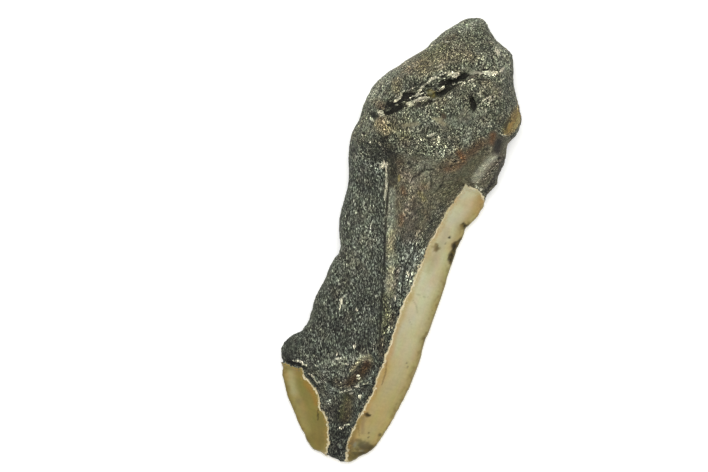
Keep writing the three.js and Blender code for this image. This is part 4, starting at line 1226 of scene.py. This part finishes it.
def dentine_colour(nodes, place, fibres, long_grain, relief, paints):
    """The dentine's paint with its torn marks, tints, speckle, and pale flecks that are partly painted
    glints.
    """
    contrast = nodes.attribute("contrast")
    dentine = nodes.attribute("dentine", "Color")
    tearing = nodes.ramp(long_grain, *RAMPS["tearing"])
    # Torn marks: pale fibres, and near-black painted shade in the sunken hollows.
    for name in TORN_MARKS:
        share = nodes.math("MULTIPLY", nodes.attribute(name), tearing)
        share = nodes.ramp(share, *RAMPS["torn paint"])
        dentine = nodes.mix(share, dentine, (*getattr(paints, name), 1))
    tints = nodes.grains(place, "tints", "Color")
    tints = nodes.vector("MULTIPLY_ADD", tints, *TINTS)
    dentine = nodes.vector("MULTIPLY", dentine, tints)
    dentine = nodes.times(dentine, grain_light(nodes, fibres, relief, contrast))
    # Pale flecks over the dentine: specks of mineral, and painted glints on its grains.
    flecks = nodes.ramp(nodes.grains(fibres, "flecks"), *RAMPS["flecks"])
    flecks = nodes.math("MULTIPLY", flecks, nodes.ramp(contrast, *RAMPS["flecks by contrast"]))
    return nodes.mix(flecks, dentine, (*paints.bone, 1))


def enamel_colour(nodes, place, enamel_mm, edge_noise, paints):
    """The enamel's paint with its clouding, growth lines, freckles and chalky, broken edge."""
    clouding = nodes.grains(place, "clouding", "Color")
    clouding = nodes.vector("MULTIPLY_ADD", clouding, *CLOUDING)
    enamel = nodes.vector("MULTIPLY", nodes.attribute("enamel", "Color"), clouding)
    growth_lines = nodes.grains(place, "growth lines")
    enamel = nodes.times(enamel, nodes.ramp(growth_lines, *RAMPS["growth lines"]))
    enamel = nodes.times(enamel, nodes.ramp(edge_noise, *RAMPS["fine clouding"]))
    freckles = nodes.ramp(nodes.grains(place, "freckles"), *RAMPS["freckles"])
    freckles = nodes.math("MULTIPLY", freckles, nodes.ramp(enamel_mm, *RAMPS["freckles by depth"]))
    enamel = nodes.mix(freckles, enamel, (*paints.amber, 1))
    past_chalk = nodes.math("SUBTRACT", enamel_mm, nodes.attribute("chalk_mm"))
    chalky = nodes.ramp(past_chalk, *RAMPS["chalk"])
    return nodes.mix(chalky, enamel, (*paints.chalk, 1))


def tooth_finish(paints):
    """Dark, gritty dentine and smooth, cream enamel, by what is kept on the mesh."""
    nodes = Nodes("Fossil tooth")
    place = nodes.add("TexCoord").outputs["Object"]
    edge_noise = nodes.grains(place, "enamel edge")
    raggedness = nodes.ramp(edge_noise, *RAMPS["raggedness"])
    enamel_mm = nodes.math("ADD", nodes.attribute("enamel_mm"), raggedness)
    is_enamel = nodes.ramp(enamel_mm, *RAMPS["enamel"])

    fibres = nodes.times(nodes.attribute("fibres", "Vector"), MM)
    long_grain = nodes.grains(fibres, "long")
    relief = grain_relief(nodes, place, fibres, long_grain)
    dentine = dentine_colour(nodes, place, fibres, long_grain, relief, paints)
    enamel = enamel_colour(nodes, place, enamel_mm, edge_noise, paints)

    height = nodes.math("MULTIPLY", relief, nodes.ramp(is_enamel, 0, 1, 1.0, ENAMEL_RELIEF))
    bump = nodes.add("Bump", {"Strength": 0.6, "Distance": RELIEF_DEPTH * MM, "Height": height})
    shader = nodes.add("BsdfPrincipled", {
        "Base Color": nodes.mix(is_enamel, dentine, enamel),
        "Roughness": nodes.ramp(is_enamel, 0, 1, DENTINE_ROUGHNESS, ENAMEL_ROUGHNESS),
        "Specular IOR Level": 0.3,
        "Normal": bump.outputs[0],
    })
    nodes.add("OutputMaterial", {0: shader.outputs[0]})
    return nodes.material


class FOSSIL_OT_finish(Operator):
    """Colour the tooth: enamel, bare dentine and root, with their stains, scars and speckle"""

    bl_idname = "fossil.finish"
    bl_label = "Finish"

    def execute(self, context):
        shape = context.scene.fossil_shape
        paints = context.scene.fossil_paint
        tooth = bpy.data.objects[TOOTH]
        surface = Surface(tooth)
        contrast, streaks, fibres = grain_of(surface, shape.lean)
        surface.keep("enamel_mm", surface.enamel)
        surface.keep("chalk_mm", chalk_width(surface))
        surface.keep("dentine", paint_dentine(surface, paints))
        for name, marks in TORN_MARKS.items():
            surface.keep(name, torn_share(surface, marks))
        surface.keep("enamel", paint_enamel(surface, paints))
        surface.keep("contrast", contrast)
        surface.keep("streaks", streaks)
        surface.keep("fibres", fibres)
        tooth.data.materials.append(tooth_finish(paints))
        return {"FINISHED"}


# ---------------------------------------------------------------- the stage


def floor_finish(colour, glow):
    """A plain, matt finish that glows a little by itself."""
    nodes = Nodes("Floor")
    shader = nodes.add("BsdfPrincipled", {
        "Base Color": (*colour, 1),
        "Roughness": 0.9,
        "Emission Color": (*colour, 1),
        "Emission Strength": glow,
    })
    nodes.add("OutputMaterial", {0: shader.outputs[0]})
    return nodes.material


def soft_light(name, target, up, place_and_size, power):
    """A wide, soft light that faces the target."""
    towards_top, height, size = place_and_size
    lamp = bpy.data.lights.new(name, "AREA")
    lamp.size = size
    lamp.energy = power
    way = towards_top * up + Vector((0, 0, height))
    light = bpy.data.objects.new(name, lamp)
    light.location = target + way
    light.rotation_euler = (-way).to_track_quat("-Z", "Y").to_euler()
    light.visible_camera = False
    bpy.context.scene.collection.objects.link(light)


class FOSSIL_OT_stage(Operator):
    """Set the pale floor, the soft lights and the camera"""

    bl_idname = "fossil.stage"
    bl_label = "Stage"

    def execute(self, context):
        scene = context.scene
        stage = scene.fossil_stage
        bpy.ops.object.select_all(action="DESELECT")
        bpy.ops.mesh.primitive_plane_add(size=FLOOR_SIZE, location=(0, 0, -FLOOR_GAP))
        floor = context.object
        floor.name = "floor"
        floor.data.materials.append(floor_finish(stage.floor, stage.glow))

        target = Vector((stage.view_x, stage.view_y, stage.view_z))
        up = Vector((-sin(stage.view_turn), cos(stage.view_turn), 0))
        soft_light("key light", target, up, KEY_LIGHT, stage.key)
        soft_light("fill light", target, up, FILL_LIGHT, stage.fill)

        scene.world = bpy.data.worlds.new("Soft sky")
        scene.world.use_nodes = True
        sky = scene.world.node_tree.nodes["Background"]
        sky.inputs["Color"].default_value = (1, 1, 1, 1)
        sky.inputs["Strength"].default_value = stage.sky
        scene.view_settings.view_transform = "Standard"

        camera_data = bpy.data.cameras.new("camera")
        camera_data.lens = stage.lens
        camera_data.clip_end = 20
        distance = stage.view_width * stage.lens / camera_data.sensor_width
        camera = bpy.data.objects.new("camera", camera_data)
        camera.location = target + Vector((0, 0, distance))
        camera.rotation_euler = (0, 0, stage.view_turn)
        scene.collection.objects.link(camera)
        scene.camera = camera
        return {"FINISHED"}


# ---------------------------------------------------------------- panel, registration and the run


class FOSSIL_PT_tooth(Panel):
    """The tooth's settings and steps"""

    bl_label = "Fossil Tooth"
    bl_space_type = "VIEW_3D"
    bl_region_type = "UI"
    bl_category = "Fossil"

    def draw(self, context):
        scene = context.scene
        for title, settings, step in (
            ("Shape", scene.fossil_shape, "fossil.tooth"),
            ("Colours", scene.fossil_paint, "fossil.finish"),
            ("Stage", scene.fossil_stage, "fossil.stage"),
        ):
            box = self.layout.box()
            box.label(text=title)
            for name in settings.__annotations__:
                box.prop(settings, name)
            box.operator(step)


CLASSES = (
    ToothShape, ToothPaint, StageSettings,
    FOSSIL_OT_tooth, FOSSIL_OT_finish, FOSSIL_OT_stage, FOSSIL_PT_tooth,
)


def register():
    """Make the settings, the steps and the panel known to Blender."""
    for kind in CLASSES:
        bpy.utils.register_class(kind)
    bpy.types.Scene.fossil_shape = PointerProperty(type=ToothShape)
    bpy.types.Scene.fossil_paint = PointerProperty(type=ToothPaint)
    bpy.types.Scene.fossil_stage = PointerProperty(type=StageSettings)


def unregister():
    """Take them out of Blender again."""
    for name in ("fossil_stage", "fossil_paint", "fossil_shape"):
        delattr(bpy.types.Scene, name)
    for kind in reversed(CLASSES):
        bpy.utils.unregister_class(kind)


def main():
    """Build the tooth and its stage."""
    register()
    bpy.ops.fossil.tooth()
    bpy.ops.fossil.finish()
    bpy.ops.fossil.stage()


if __name__ == "__main__":
    main()
